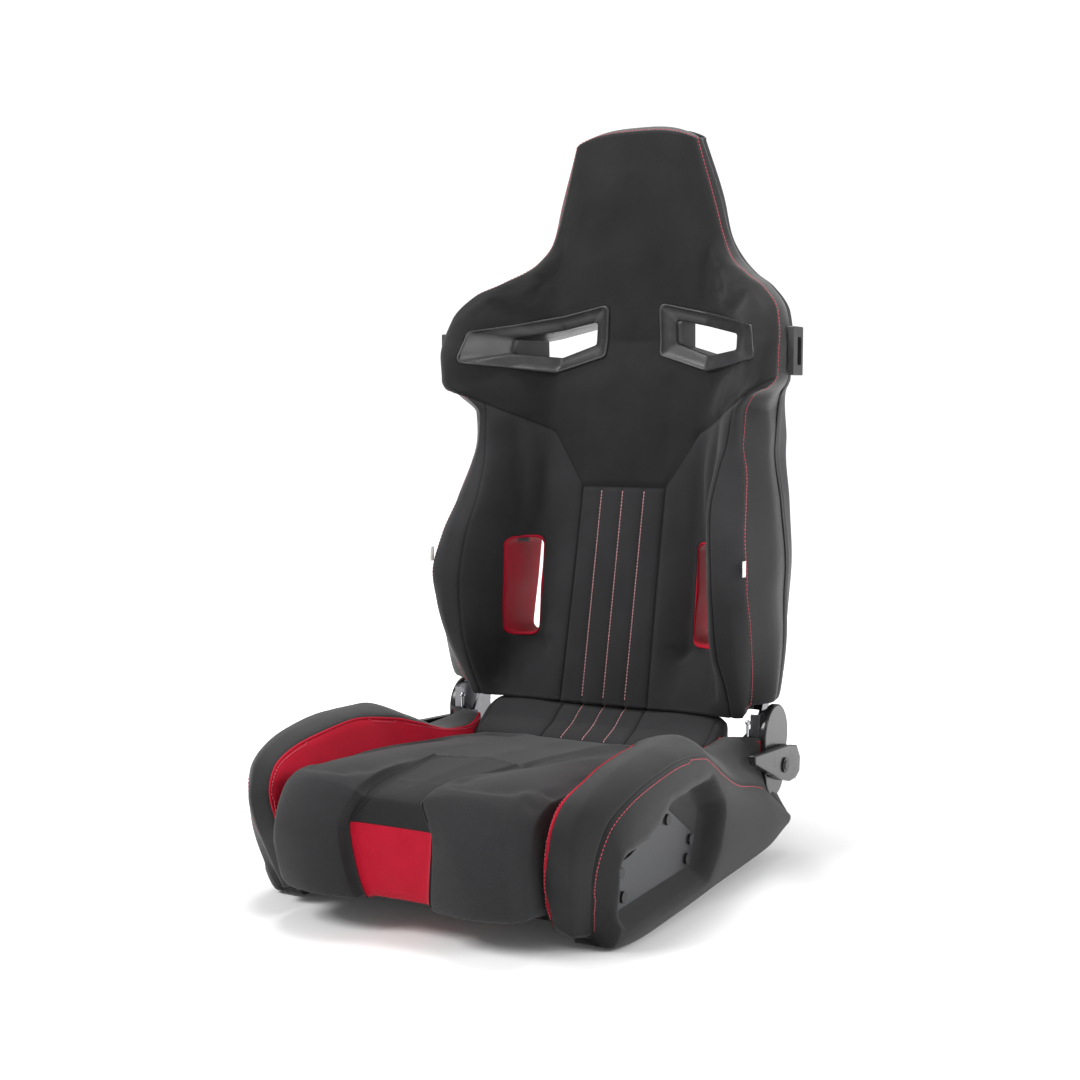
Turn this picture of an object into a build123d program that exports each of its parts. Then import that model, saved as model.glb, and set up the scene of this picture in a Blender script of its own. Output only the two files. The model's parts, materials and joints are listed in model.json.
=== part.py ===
"""Reclining racing seat: tubular frames, recliners with a release shaft, foam pads and moulded trim.

Millimetres. The seat faces -Y, +X is the sitter's left and +Z is up. The origin is the centre of
the floor bolt pattern, in the plane of the four bolt faces. Paired pieces are made on the +X side
and mirrored.
"""
from build123d import *
import math
import os

os.makedirs("parts", exist_ok=True)

# Clearances
gap = 0.4                  # between soft pieces, and between soft pieces and hard ones
seat_gap = 0.1             # between hard pieces that rest on each other
running = 0.05             # radial clearance of the release shaft in what turns about it

# Floor mounting
bolt_spacing_x = 330.0
bolt_spacing_y = 335.0
bolt_hole_radius = 4.0
boss_side = 32.0
boss_height = 14.0

# Cushion frame
rail_radius = 12.5
rail_wall = 1.8
rail_front = -215.0
rail_rear = 215.0
rail_x = bolt_spacing_x / 2
rail_z = boss_height + rail_radius
front_tube_y = -205.0
rear_tube_y = 150.0
recliner_tube_radius = 11.0
recliner_tube_y = 203.0
recliner_tube_z = rail_z + rail_radius + recliner_tube_radius + seat_gap
wire_radius = 1.75

# Cushion
seat_half_width = 256.0
pad_half_width = 163.0
insert_half_width = 176.0
cushion_front = -322.0     # front of the sunk middle panel
lobe_bulge = 23.0          # the thigh lobes stand this far in front of the middle panel
insert_front = 129.0
side_plate_x = seat_half_width - 27.0
side_plate_thickness = 3.0
plate_screws = [(-218, 58), (-48, 59), (-38, 80), (-103, 118), (-224, 86)]
rail_top = boss_height + 2 * rail_radius
pad_underside = rail_top + 2 * wire_radius + 0.6

# Recline axis, and the circles that keep backrest and cushion apart
axis_y = 225.0
axis_z = 120.0
back_radius = 69.0
cover_clear_radius = 86.0
hinge_x = seat_half_width - 43.0
plate = 4.0
disc_radius = 33.0
disc_thickness = 4.8
shaft_radius = 6.0
cover_wall = 2.5
cover_depth = 9.0
lever_thickness = 10.0
lever_wall = 3.0

# Backrest
back_bottom = 182.0
torso_height = 420.0
head_height = 370.0        # from the top of the torso pads to the top of the head
lean = math.tan(math.radians(11.86))
lean_height = 498.0        # the front leans back up to this height above back_bottom
torso_half_width = 251.0
shoulder_half_width = 252.0
head_half_width = 129.0
pad_thickness = 42.0
frame_space = 25.0
shell_wall = 3.0
back_tube_radius = 11.0
hoop_radius = 7.0
hoop_x = 24.0
slot_inner_x = 118.0
slot_width = 40.0
slot_low = 267.0
slot_high = 406.0
liner_wall = 2.0
bezel_band = 18.0
bezel_end = 52.0           # the harness opening's sloped outer end
bezel_depth = 22.0
bezel_proud = 3.0

shoulder_base = back_bottom + torso_height
head_top = shoulder_base + head_height
side_tube_x = slot_inner_x + slot_width + 7 + back_tube_radius
bolster_inner_x = slot_inner_x + slot_width + 3.0


def spine(z):
    """Depth of the backrest's front surface on the centre line, at height z."""
    rise = min(z - back_bottom, lean_height)
    return 192.0 + rise * lean


def save(piece, name):
    """Label a finished piece and write it under its node's name."""
    piece.label = name
    export_step(piece, f"parts/{name}.step")


def save_pair(piece, name):
    """Write the +X piece as the left one and its mirror image as the right one."""
    save(piece, name + "_left")
    save(mirror(piece, about=Plane.YZ), name + "_right")


def both_sides(half):
    """Close a half outline, given from x = 0 outwards and back to x = 0, about x = 0."""
    return half + [(-x, y) for x, y in reversed(half) if x > 0]


def plan_loft(sections):
    """A solid through closed plan outlines, given as (height, points), one storey at a time."""
    with BuildPart() as solid:
        for storey in zip(sections, sections[1:]):
            for height, outline in storey:
                with BuildSketch(Plane.XY.offset(height)):
                    with BuildLine():
                        Polyline(*outline, close=True)
                    make_face()
            loft(ruled=True)
    return solid.part


def cylinder_x(radius, x_low, x_high, y, z):
    """A round bar along X."""
    with BuildPart() as bar:
        with BuildSketch(Plane.YZ.offset(x_low)):
            with Locations((y, z)):
                Circle(radius)
        extrude(amount=x_high - x_low)
    return bar.part


def tube(start, end, radius, wall):
    """A straight round tube between two points."""
    direction = Vector(*end) - Vector(*start)
    with BuildPart() as pipe:
        with BuildSketch(Plane(origin=start, z_dir=direction)):
            Circle(radius)
            Circle(radius - wall, mode=Mode.SUBTRACT)
        extrude(amount=direction.length)
    return pipe.part


# ---------------------------------------------------------------- cushion frame


def make_rails():
    with BuildPart() as rail:
        with BuildSketch(Plane.XZ.offset(-rail_rear)):
            with Locations((rail_x, rail_z)):
                Circle(rail_radius)
                Circle(rail_radius - rail_wall, mode=Mode.SUBTRACT)
        extrude(amount=rail_rear - rail_front)
    save_pair(rail.part, "frame_rail")


def make_cross_tubes():
    reach = rail_x - rail_radius - seat_gap
    for name, y in (("frame_cross_front", front_tube_y), ("frame_cross_rear", rear_tube_y)):
        save(tube((-reach, y, rail_z), (reach, y, rail_z), rail_radius, rail_wall), name)
    reach = hinge_x + 2 * plate + 2 * disc_thickness + 0.3 - plate - seat_gap
    start = (-reach, recliner_tube_y, recliner_tube_z)
    end = (reach, recliner_tube_y, recliner_tube_z)
    save(tube(start, end, recliner_tube_radius, rail_wall), "recliner_cross_tube")


def make_bosses():
    """Square threaded bosses under the rails, hollowed on top to sit against the tube."""
    with BuildPart() as bosses:
        with GridLocations(bolt_spacing_x, bolt_spacing_y, 2, 2):
            Box(boss_side, boss_side, boss_height - seat_gap,
                align=(Align.CENTER, Align.CENTER, Align.MIN))
        chamfer(bosses.edges().filter_by(Axis.Z), 4.0)
        with GridLocations(bolt_spacing_x, bolt_spacing_y, 2, 2):
            Hole(bolt_hole_radius)
    save(bosses.part, "mount_bosses")


def make_seat_springs():
    """Zigzag wires from the front cross tube to the recliner tube, just above the rails."""
    strands, bends, swing, bend = 4, 9, 14.0, 8.0
    z = rail_top + 0.3 + wire_radius
    start = front_tube_y
    end = recliner_tube_y - recliner_tube_radius - 0.6
    pitch = (end - start) / (bends + 1)
    with BuildPart() as springs:
        for strand in range(strands):
            x = (strand - (strands - 1) / 2) * 66.0
            points = [(x, start, z)]
            for turn in range(bends):
                side = swing if turn % 2 else -swing
                points.append((x + side, start + pitch * (turn + 1), z))
            points.append((x, end, z))
            with BuildLine():
                wire = FilletPolyline(*points, radius=bend)
            with BuildSketch(Plane(origin=wire @ 0, z_dir=wire % 0)):
                Circle(wire_radius)
            sweep(path=wire)
    save(springs.part, "seat_springs")


# ---------------------------------------------------------------- cushion


def make_cushion_pad():
    """Side profiles from one edge to the other: two crowned thigh lobes and a sunk middle."""
    front = cushion_front
    rear = insert_front - gap
    low = pad_underside
    middle = [(rear, low), (rear, 140), (0, 160), (-140, 169), (-250, 167), (front + 12, 157),
              (front, 125), (front + 22, 50), (-246, low)]
    lobe_nose = front - lobe_bulge
    lobe = [(rear, low), (rear, 141), (0, 164), (-140, 177), (-250, 186), (front + 8, 176),
            (lobe_nose, 112), (front + 20, 50), (-246, low)]
    shoulder = [(rear, low), (rear, 141), (0, 160), (-140, 172), (-250, 176), (front + 20, 160),
                (front - 4, 110), (front + 24, 50), (-240, low)]
    edge = [(rear, low), (rear, 132), (0, 148), (-140, 156), (-250, 156), (front + 34, 144),
            (front + 18, 105), (front + 34, 52), (-236, low)]
    stations = [(pad_half_width, edge), (pad_half_width - 14, shoulder), (112, lobe),
                (72, lobe), (46, middle)]
    profiles = [(-x, profile) for x, profile in stations] + [(0, middle)]
    profiles += [(x, profile) for x, profile in reversed(stations)]
    with BuildPart() as pad:
        for x, profile in profiles:
            with BuildSketch(Plane.YZ.offset(x)):
                with BuildLine():
                    Polyline(*profile, close=True)
                make_face()
        loft(ruled=True)
    save(pad.part, "cushion_pad")


def make_rear_insert():
    """The sewn pad in front of the backrest, with its rear edge inside the insert circle."""
    with BuildPart() as insert:
        with BuildSketch(Plane.YZ.offset(-insert_half_width)):
            with BuildLine():
                Polyline((insert_front, 141.5), (165, 157), (205, 177), (212, 172), (213, 100),
                         (205, 64), (insert_front, 64), close=True)
            make_face()
        extrude(amount=2 * insert_half_width)
        fillet(insert.edges().filter_by(Axis.X).sort_by(Axis.Z)[-1], 4.0)
    save(insert.part, "rear_insert_pad")


def bolster_section(y, foot, inner, piping, crown, seam, flank, hem):
    """One cross-section of the cushion bolster, from its inner foot over the crown to its hem."""
    return y, [(foot[0], foot[1]), (foot[0], rail_top + gap),
               inner, piping, crown, seam, flank, hem]


def plate_outline():
    """Corners of the metal side plate, as (y, z)."""
    return [(-228, 46), (-36, 49), (-23, 82), (-101, 130), (-134, 127), (-166, 108), (-200, 99),
            (-236, 96)]


def make_cushion_bolsters():
    """Side bolster of the cushion with the pocket that holds the side plate."""
    w = seat_half_width
    foot = rail_x + boss_side / 2 + 2.0
    inner = pad_half_width + gap + 1.6
    behind = insert_half_width + gap + 1.6
    rear = hinge_x + 2 * plate + 2 * disc_thickness + 0.3 + 2.4
    sections = [
        bolster_section(-292, (foot, 30), (184, 60), (188, 132), (198, 138), (w - 44, 128),
                        (w - 38, 90), (w - 56, 34)),
        bolster_section(-275, (foot, 12), (172, 60), (188, 165), (205, 172), (w - 20, 150),
                        (w - 12, 100), (w - 44, 10)),
        bolster_section(-235, (foot, 3), (inner, 55), (191, 184), (215, 190), (w - 6, 170),
                        (w - 2, 95), (w - 34, 2)),
        bolster_section(-190, (foot, 3), (inner, 55), (190, 191), (220, 200), (w - 3, 183),
                        (w, 100), (w - 18, 4)),
        bolster_section(-120, (foot, 5), (inner, 55), (189, 196), (222, 205), (w, 190),
                        (w, 100), (w - 13, 8)),
        bolster_section(-60, (foot, 8), (inner, 55), (184, 190), (218, 205), (w - 2, 186),
                        (w, 95), (w - 11, 11)),
        bolster_section(0, (foot, 11), (inner, 55), (178, 174), (212, 182), (w - 8, 158),
                        (w, 85), (w - 9, 15)),
        bolster_section(83, (foot, 14), (inner, 55), (172, 152), (205, 154), (w - 13, 122),
                        (w, 80), (w - 9, 17)),
        bolster_section(insert_front - 2, (foot, 16), (inner, 55), (172, 148), (208, 156),
                        (w - 16, 116), (w, 75), (w - 8, 19)),
        bolster_section(insert_front, (foot, 16), (behind, 56), (behind + 2, 149), (208, 157),
                        (w - 16, 115), (w, 75), (w - 8, 19)),
        bolster_section(176, (foot, 18), (behind, 56), (behind + 4, 158), (206, 162),
                        (w - 22, 100), (w, 70), (w - 7, 21)),
        bolster_section(181, (rear, 20), (rear, 60), (rear + 1, 78), (w - 16, 84), (w - 6, 80),
                        (w, 60), (w - 7, 23)),
        bolster_section(202, (rear, 22), (rear, 55), (rear + 1, 68), (w - 16, 72), (w - 6, 69),
                        (w, 52), (w - 6, 25)),
        bolster_section(256, (rear, 32), (rear, 44), (rear + 1, 50), (w - 16, 54), (w - 8, 52),
                        (w - 4, 45), (w - 10, 33)),
    ]
    with BuildPart() as bolster:
        for y, outline in sections:
            with BuildSketch(Plane.XZ.offset(-y)):
                with BuildLine():
                    Polyline(*outline, close=True)
                make_face()
        loft(ruled=True)
        with BuildSketch(Plane.YZ.offset(side_plate_x - gap)):
            with BuildLine():
                Polyline(*plate_outline(), close=True)
            make_face()
            offset(amount=5.0)
        extrude(amount=40, mode=Mode.SUBTRACT)
    save_pair(bolster.part, "cushion_bolster")


def make_side_plates():
    with BuildPart() as side:
        with BuildSketch(Plane.YZ.offset(side_plate_x)):
            with BuildLine():
                Polyline(*plate_outline(), close=True)
            make_face()
            with Locations(*plate_screws):
                Circle(3.2, mode=Mode.SUBTRACT)
        extrude(amount=side_plate_thickness)
    save_pair(side.part, "side_plate")


def make_side_plate_screws():
    """Flanged screws: a washer head outside the plate and a shank that fills the plate's hole."""
    with BuildPart() as screws:
        with BuildSketch(Plane.YZ.offset(side_plate_x)):
            with Locations(*plate_screws):
                Circle(3.0)
        extrude(amount=side_plate_thickness)
        with BuildSketch(Plane.YZ.offset(side_plate_x + side_plate_thickness)):
            with Locations(*plate_screws):
                Circle(6.5)
        extrude(amount=3.0)
        mirror(about=Plane.YZ)
    save(screws.part, "side_plate_screws")


# ---------------------------------------------------------------- recliners

base_plate_x = hinge_x + plate + 2 * disc_thickness + 0.3
cover_x = base_plate_x + plate + gap
lever_x = cover_x + cover_depth + 1.6
flange_y = 186.0
flange_inner_x = hinge_x - 18.0
disc_bolts = 24.0


def make_base_brackets():
    """Outer recliner plate with the stepped flange that faces forward beside the backrest."""
    with BuildPart() as bracket:
        with BuildSketch(Plane.YZ.offset(base_plate_x)):
            with BuildLine():
                Polyline((flange_y, 190), (flange_y, 42), (245, 42), (262, 95), (262, 150),
                         (245, 185), (225, 193), (205, 193), close=True)
            make_face()
            with Locations((axis_y, axis_z)):
                Circle(shaft_radius + running, mode=Mode.SUBTRACT)
                with PolarLocations(disc_bolts, 3):
                    Circle(3.2, mode=Mode.SUBTRACT)
        extrude(amount=plate)
        with BuildSketch(Plane.XZ.offset(-flange_y - plate)):
            with BuildLine():
                Polyline((base_plate_x, 190), (hinge_x + plate + 1.5, 190),
                         (hinge_x + plate + 1.5, 172), (hinge_x - 6, 158.5),
                         (flange_inner_x, 158.5), (flange_inner_x, 100), (base_plate_x, 100),
                         close=True)
            make_face()
        extrude(amount=plate)
    save_pair(bracket.part, "recliner_base_bracket")


def recliner_disc(x_low):
    """One half of a round recliner, with tapped holes for its three bolts."""
    with BuildPart() as disc:
        with BuildSketch(Plane.YZ.offset(x_low)):
            with Locations((axis_y, axis_z)):
                Circle(disc_radius)
                Circle(shaft_radius + running, mode=Mode.SUBTRACT)
                with PolarLocations(disc_bolts, 3):
                    Circle(3.2, mode=Mode.SUBTRACT)
        extrude(amount=disc_thickness - seat_gap)
    return disc.part


def make_discs():
    save_pair(recliner_disc(hinge_x + plate + seat_gap), "recliner_disc_upper")
    save_pair(recliner_disc(hinge_x + plate + disc_thickness + 0.3), "recliner_disc_lower")


def disc_bolt_group(head_x, tip_x, direction):
    """Three bolts a side: heads on one face of the plate, shanks through plate and disc."""
    with BuildPart() as bolts:
        with BuildSketch(Plane.YZ.offset(min(head_x, tip_x))):
            with Locations((axis_y, axis_z)):
                with PolarLocations(disc_bolts, 3):
                    Circle(3.0)
        extrude(amount=abs(tip_x - head_x))
        with BuildSketch(Plane.YZ.offset(head_x)):
            with Locations((axis_y, axis_z)):
                with PolarLocations(disc_bolts, 3):
                    RegularPolygon(5.0, 6)
        extrude(amount=direction * 3.6)
        mirror(about=Plane.YZ)
    return bolts.part


def make_disc_bolts():
    outer_face = base_plate_x + plate + seat_gap
    inner_disc_face = hinge_x + plate + disc_thickness + 0.6
    save(disc_bolt_group(outer_face, inner_disc_face, 1), "base_bracket_bolts")
    inner_face = hinge_x - seat_gap
    outer_disc_face = hinge_x + plate + disc_thickness - 0.3
    save(disc_bolt_group(inner_face, outer_disc_face, -1), "back_bracket_bolts")


def make_bracket_pins():
    """Bright round-headed pin that stands in front of each flange on a collar."""
    pin_radius, head_radius = 2.0, 3.4
    x = hinge_x + 3.5
    y = flange_y - head_radius - 0.2
    with BuildPart() as pins:
        with BuildSketch(Plane(origin=(x, y, 150), x_dir=(1, 0, 0), z_dir=(0, -1, 0))):
            with BuildLine():
                Polyline((0, 0), (head_radius, 0), (head_radius, 4), (pin_radius, 6),
                         (pin_radius, 27), (head_radius, 28), (head_radius, 31), (2.2, 33),
                         (0, 33), close=True)
            make_face()
        revolve(axis=Axis((x, y, 0), (0, 0, 1)))
        mirror(about=Plane.YZ)
    save(pins.part, "bracket_pins")


def cover_outline(inset):
    """Rounded cover outline: a large upper round and a smaller lower one."""
    with BuildSketch(mode=Mode.PRIVATE) as outline:
        with Locations((axis_y + 1, axis_z + 38)):
            Circle(41.0 - inset)
        with Locations((axis_y - 3, axis_z - 8)):
            Circle(34.0 - inset)
        make_hull()
    return outline.sketch


def make_covers():
    outer, inner = cover_outline(0), cover_outline(cover_wall)
    with BuildPart() as cover:
        with BuildSketch(Plane.YZ.offset(cover_x)):
            add(outer)
        extrude(amount=cover_depth)
        with BuildSketch(Plane.YZ.offset(cover_x)):
            add(inner)
        extrude(amount=cover_depth - cover_wall, mode=Mode.SUBTRACT)
        with BuildSketch(Plane.YZ.offset(cover_x)):
            with Locations((axis_y, axis_z)):
                Circle(shaft_radius + gap)
        extrude(amount=cover_depth, mode=Mode.SUBTRACT)
        chamfer(cover.faces().sort_by(Axis.X)[-1].outer_wire().edges(), 1.2)
    save_pair(cover.part, "recliner_cover")


def lever_outline():
    """Slim arm forward, and a six-sided head around the release shaft."""
    return [(121, 151), (238, 144), (272, 138), (285, 120), (283, 101), (268, 94), (246, 94),
            (205, 106), (166, 122), (122, 140)]


def make_levers():
    """Hollow from inside, with a hub that carries the shaft."""
    with BuildPart() as lever:
        with BuildSketch(Plane.YZ.offset(lever_x)):
            with BuildLine():
                Polyline(*lever_outline(), close=True)
            make_face()
        extrude(amount=lever_thickness)
        with BuildSketch(Plane.YZ.offset(lever_x)):
            with BuildLine():
                Polyline(*lever_outline(), close=True)
            make_face()
            offset(amount=-lever_wall)
        extrude(amount=lever_thickness - lever_wall, mode=Mode.SUBTRACT)
        with BuildSketch(Plane.YZ.offset(lever_x)):
            with Locations((axis_y, axis_z)):
                Circle(shaft_radius + 6)
        extrude(amount=lever_thickness)
        with BuildSketch(Plane.YZ.offset(lever_x)):
            with Locations((axis_y, axis_z)):
                Circle(shaft_radius + running)
        extrude(amount=lever_thickness, mode=Mode.SUBTRACT)
    save_pair(lever.part, "release_lever")


def make_release_shaft():
    reach = lever_x + lever_thickness + 3.2
    save(cylinder_x(shaft_radius, -reach, reach, axis_y, axis_z), "release_shaft")
    with BuildPart() as clips:
        with BuildSketch(Plane.YZ.offset(lever_x + lever_thickness + 0.2)):
            with Locations((axis_y, axis_z)):
                Circle(shaft_radius + 4)
                Circle(shaft_radius + running, mode=Mode.SUBTRACT)
        extrude(amount=2.0)
        mirror(about=Plane.YZ)
    save(clips.part, "lever_clips")


# ---------------------------------------------------------------- backrest frame


def frame_centre(z):
    """Depth of the backrest tubes' centre lines, behind the foam."""
    return spine(z) + pad_thickness + 1.5 + back_tube_radius


lower_tube_z = 206.0
upper_tube_z = shoulder_base - 30.0


def make_back_brackets():
    """Inner recliner plate: a round eye on the shaft and an arm up beside the lower tube."""
    top = lower_tube_z + 60
    front = spine(lower_tube_z) + pad_thickness + 2
    with BuildPart() as bracket:
        with BuildSketch(Plane.YZ.offset(hinge_x)):
            with Locations((axis_y, axis_z)):
                Circle(disc_radius)
            with BuildLine():
                Polyline((axis_y - 28, axis_z + 14), (front, lower_tube_z), (front + 13, top),
                         (front + 27, top), (front + 16, lower_tube_z), (axis_y + 30, axis_z + 8),
                         close=True)
            make_face()
            with Locations((axis_y, axis_z)):
                Circle(shaft_radius + running, mode=Mode.SUBTRACT)
                with PolarLocations(disc_bolts, 3):
                    Circle(3.2, mode=Mode.SUBTRACT)
        extrude(amount=plate)
    save_pair(bracket.part, "recliner_back_bracket")


def make_back_tubes():
    y = frame_centre(lower_tube_z)
    reach = hinge_x - seat_gap
    low = tube((-reach, y, lower_tube_z), (reach, y, lower_tube_z), back_tube_radius, rail_wall)
    save(low, "back_lower_cross_tube")
    y = frame_centre(upper_tube_z)
    reach = side_tube_x + back_tube_radius
    high = tube((-reach, y, upper_tube_z), (reach, y, upper_tube_z), back_tube_radius, rail_wall)
    save(high, "back_upper_cross_tube")
    ends = []
    for z, side in ((lower_tube_z, 1), (upper_tube_z, -1)):
        along = Vector(0, lean, 1).normalized() * (back_tube_radius + 0.3) * side
        ends.append(Vector(side_tube_x, frame_centre(z), z) + along)
    save_pair(tube(tuple(ends[0]), tuple(ends[1]), back_tube_radius, rail_wall),
              "back_side_tube")


def make_head_hoop():
    """Bent hoop that stands on the upper cross tube and carries the head."""
    low = upper_tube_z + back_tube_radius + 0.3
    straight_y = spine(head_top) + pad_thickness + 1.2 + hoop_radius
    low_y = frame_centre(low)
    knee = back_bottom + lean_height + 12
    top = head_top - 68
    points = [(hoop_x, low_y, low), (hoop_x, straight_y, knee), (hoop_x, straight_y, top),
              (-hoop_x, straight_y, top), (-hoop_x, straight_y, knee), (-hoop_x, low_y, low)]
    with BuildPart() as hoop:
        with BuildLine() as path:
            FilletPolyline(*points, radius=[60, hoop_x - 0.5, hoop_x - 0.5, 60])
        with BuildSketch(Plane(origin=path.wire() @ 0, z_dir=path.wire() % 0)):
            Circle(hoop_radius)
        sweep(path=path.wire())
    save(hoop.part, "head_hoop")


def make_back_springs():
    """Zigzag wires between the side tubes, clear of the two slots."""
    levels = (236.0, 432.0, 474.0, 516.0)
    bends, swing, bend = 10, 11.0, 7.0
    reach = side_tube_x - back_tube_radius - 0.8
    pitch = 2 * reach / (bends + 1)
    with BuildPart() as springs:
        for level in levels:
            points = [(-reach, frame_centre(level), level)]
            for turn in range(bends):
                z = level + (swing if turn % 2 else -swing)
                points.append((-reach + pitch * (turn + 1), frame_centre(z), z))
            points.append((reach, frame_centre(level), level))
            with BuildLine():
                wire = FilletPolyline(*points, radius=bend)
            with BuildSketch(Plane(origin=wire @ 0, z_dir=wire % 0)):
                Circle(wire_radius)
            sweep(path=wire)
    save(springs.part, "back_springs")


# ---------------------------------------------------------------- backrest pads and shell

# Torso stations. Height as a share of the torso, then (distance in from the widest point,
# distance in front of the spine) of the inner seam, the outer seam and the side.
torso_stations = [
    (-0.10, (69, 4), (42, -2), (19, -23)),
    (0.0, (69, 4), (42, -2), (19, -23)),
    (0.095, (63, 40), (32, 23), (4, -4)),
    (0.26, (61, 82), (21, 64), (0, 15)),
    (0.44, (64, 105), (19, 103), (0, 41)),
    (0.66, (76, 103), (36, 84), (15, 35)),
    (0.85, (69, 80), (52, 69), (32, 29)),
    (1.0, (61, 92), (38, 88), (24, 65)),
]


def torso_section(station):
    """Height, front points and rear points of one side of the torso."""
    share, inner, outer, side = station
    z = back_bottom + share * torso_height
    s = spine(z)
    rear = s + pad_thickness
    inner_x, outer_x, side_x = (torso_half_width - p[0] for p in (inner, outer, side))
    inner_y, outer_y, side_y = (s - p[1] for p in (inner, outer, side))
    nose = ((inner_x + outer_x) / 2, min(inner_y, outer_y) - 7)
    front = [(inner_x, inner_y), nose, (outer_x, outer_y)]
    back = [(side_x, side_y), (side_x - 3, (side_y + rear) / 2), (side_x - 22, rear)]
    return z, front, back


def cut_round_the_axis(body, radius, reach_in, reach_out):
    """Cut a body back from a circle round the recline axis, between two distances from x = 0."""
    with BuildPart() as result:
        add(body)
        for low in (-reach_out, reach_in):
            with BuildSketch(Plane.YZ.offset(low)):
                with Locations((axis_y, axis_z)):
                    Circle(radius)
            extrude(amount=reach_out - reach_in, mode=Mode.SUBTRACT)
    return result.part


def slot_prism(grow):
    """The side slot's upright rounded outline, grown by an amount, right through the backrest."""
    with BuildPart() as prism:
        with BuildSketch(Plane.XZ.offset(-spine(slot_high) - 120)):
            with Locations((slot_inner_x + slot_width / 2, (slot_low + slot_high) / 2)):
                RectangleRounded(slot_width + 2 * grow, slot_high - slot_low + 2 * grow, 10)
        extrude(amount=240)
        mirror(about=Plane.YZ)
    return prism.part


def make_torso_pad():
    """Middle pad with the two slots; crowned between them."""
    edge = slot_inner_x + slot_width + 2.6
    sections = []
    for station in torso_stations:
        z = back_bottom + station[0] * torso_height
        s = spine(z)
        half = [(0, s), (66, s + 2), (slot_inner_x, s + 10), (edge, s + 6),
                (edge, s + pad_thickness)]
        sections.append((z, both_sides(half)))
    sections[-1] = (sections[-1][0] - gap, sections[-1][1])
    body = cut_round_the_axis(plan_loft(sections), back_radius, -300, 300)
    holes = slot_prism(gap)
    with BuildPart() as pad:
        add(body)
        add(holes, mode=Mode.SUBTRACT)
    save(pad.part, "torso_pad")


def make_torso_bolsters():
    sections = []
    for station in torso_stations:
        z, front, back = torso_section(station)
        s = spine(z)
        root = [(bolster_inner_x, s + pad_thickness), (bolster_inner_x, s + 6)]
        sections.append((z, root + front + back))
    sections[-1] = (sections[-1][0] - gap, sections[-1][1])
    body = cut_round_the_axis(plan_loft(sections), back_radius, bolster_inner_x - 5, 300)
    body = cut_round_the_axis(body, cover_clear_radius, hinge_x - 1.5, 300)
    save_pair(body, "torso_bolster")


# Shoulder and head stations, from the top of the torso upwards. Height above the torso, on a
# head that is station_height tall, then
# (distance in from the widest point, distance behind the spine) of the slope, the nose, the edge,
# the side, the rear corner and the rear slope. The flat middle and the rear flat come first.
station_height = 370
shoulder_stations = [
    (0, 112, -10, (82, -48), (47, -90), (38, -88), (25, -65), (28, -11), (87, 25), 110),
    (23, 112, -11, (84, -55), (27, -113), (2, -103), (2, -77), (11, -35), (87, 27), 110),
    (61, 112, -11, (82, -61), (29, -128), (1, -113), (0, -87), (9, -42), (87, 24), 110),
    (108, 108, -9, (92, -46), (40, -100), (9, -97), (9, -74), (17, -34), (92, 24), 105),
    (143, 108, -7, (102, -32), (57, -70), (39, -78), (36, -56), (44, -24), (102, 24), 105),
]
head_stations = [
    (186, 100, -4, (9, -10), (-9, -20), (-18, -22), (-23, -4), (-20, 16), (-1, 32), 100),
    (216, 80, -2, (29, -4), (11, -5), (0, -4), (-4, 8), (-1, 22), (11, 36), 95),
    (268, 76, -4, (34, -5), (21, -6), (13, -4), (9, 7), (11, 21), (23, 36), 86),
    (347, 60, -8, (55, -9), (45, -9), (38, -7), (35, 3), (37, 17), (47, 29), 66),
    (370, 35, 1, (79, 1), (69, 2), (63, 4), (61, 9), (63, 15), (71, 21), 46),
]
head_top_rear = 26.0


def shoulder_section(station, half_width):
    """Height, front points and rear points of one side of the shoulders or the head."""
    rise, flat_x, flat_y, slope, nose, edge, side, corner, rear_slope, rear_flat_x = station
    z = shoulder_base + rise * head_height / station_height
    s = spine(z)
    front = [(0, s + min(0, flat_y + 4)), (flat_x, s + flat_y)]
    front += [(half_width - dx, s + dy) for dx, dy in (slope, nose, edge)]
    rear_y = s + (head_top_rear if rise == station_height else pad_thickness)
    back = [(half_width - dx, s + dy) for dx, dy in (side, corner, rear_slope)]
    back += [(rear_flat_x, rear_y), (0, rear_y)]
    return z, front, back


def shoulder_sections():
    sections = [shoulder_section(station, shoulder_half_width) for station in shoulder_stations]
    return sections + [shoulder_section(station, head_half_width) for station in head_stations]


def shell_section(z, back, inner_x, corner_y, space):
    """Inner and outer paths of the rear shell, from the side round to the middle."""
    (side_x, side_y), (corner_x, corner_back) = back[0], back[1]
    s = spine(z)
    inner = [(side_x + gap, side_y + 1), (corner_x + 0.6, corner_back + 0.6),
             (inner_x + (corner_x - inner_x) * 0.55, corner_y),
             (inner_x, s + pad_thickness + space), (0, s + pad_thickness + space)]
    push = [(1, 0.0), (0.95, 0.3), (0.7, 0.7), (0, 1), (0, 1)]
    outer = [(x + shell_wall * px, y + shell_wall * py) for (x, y), (px, py) in zip(inner, push)]
    return inner, outer


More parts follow.
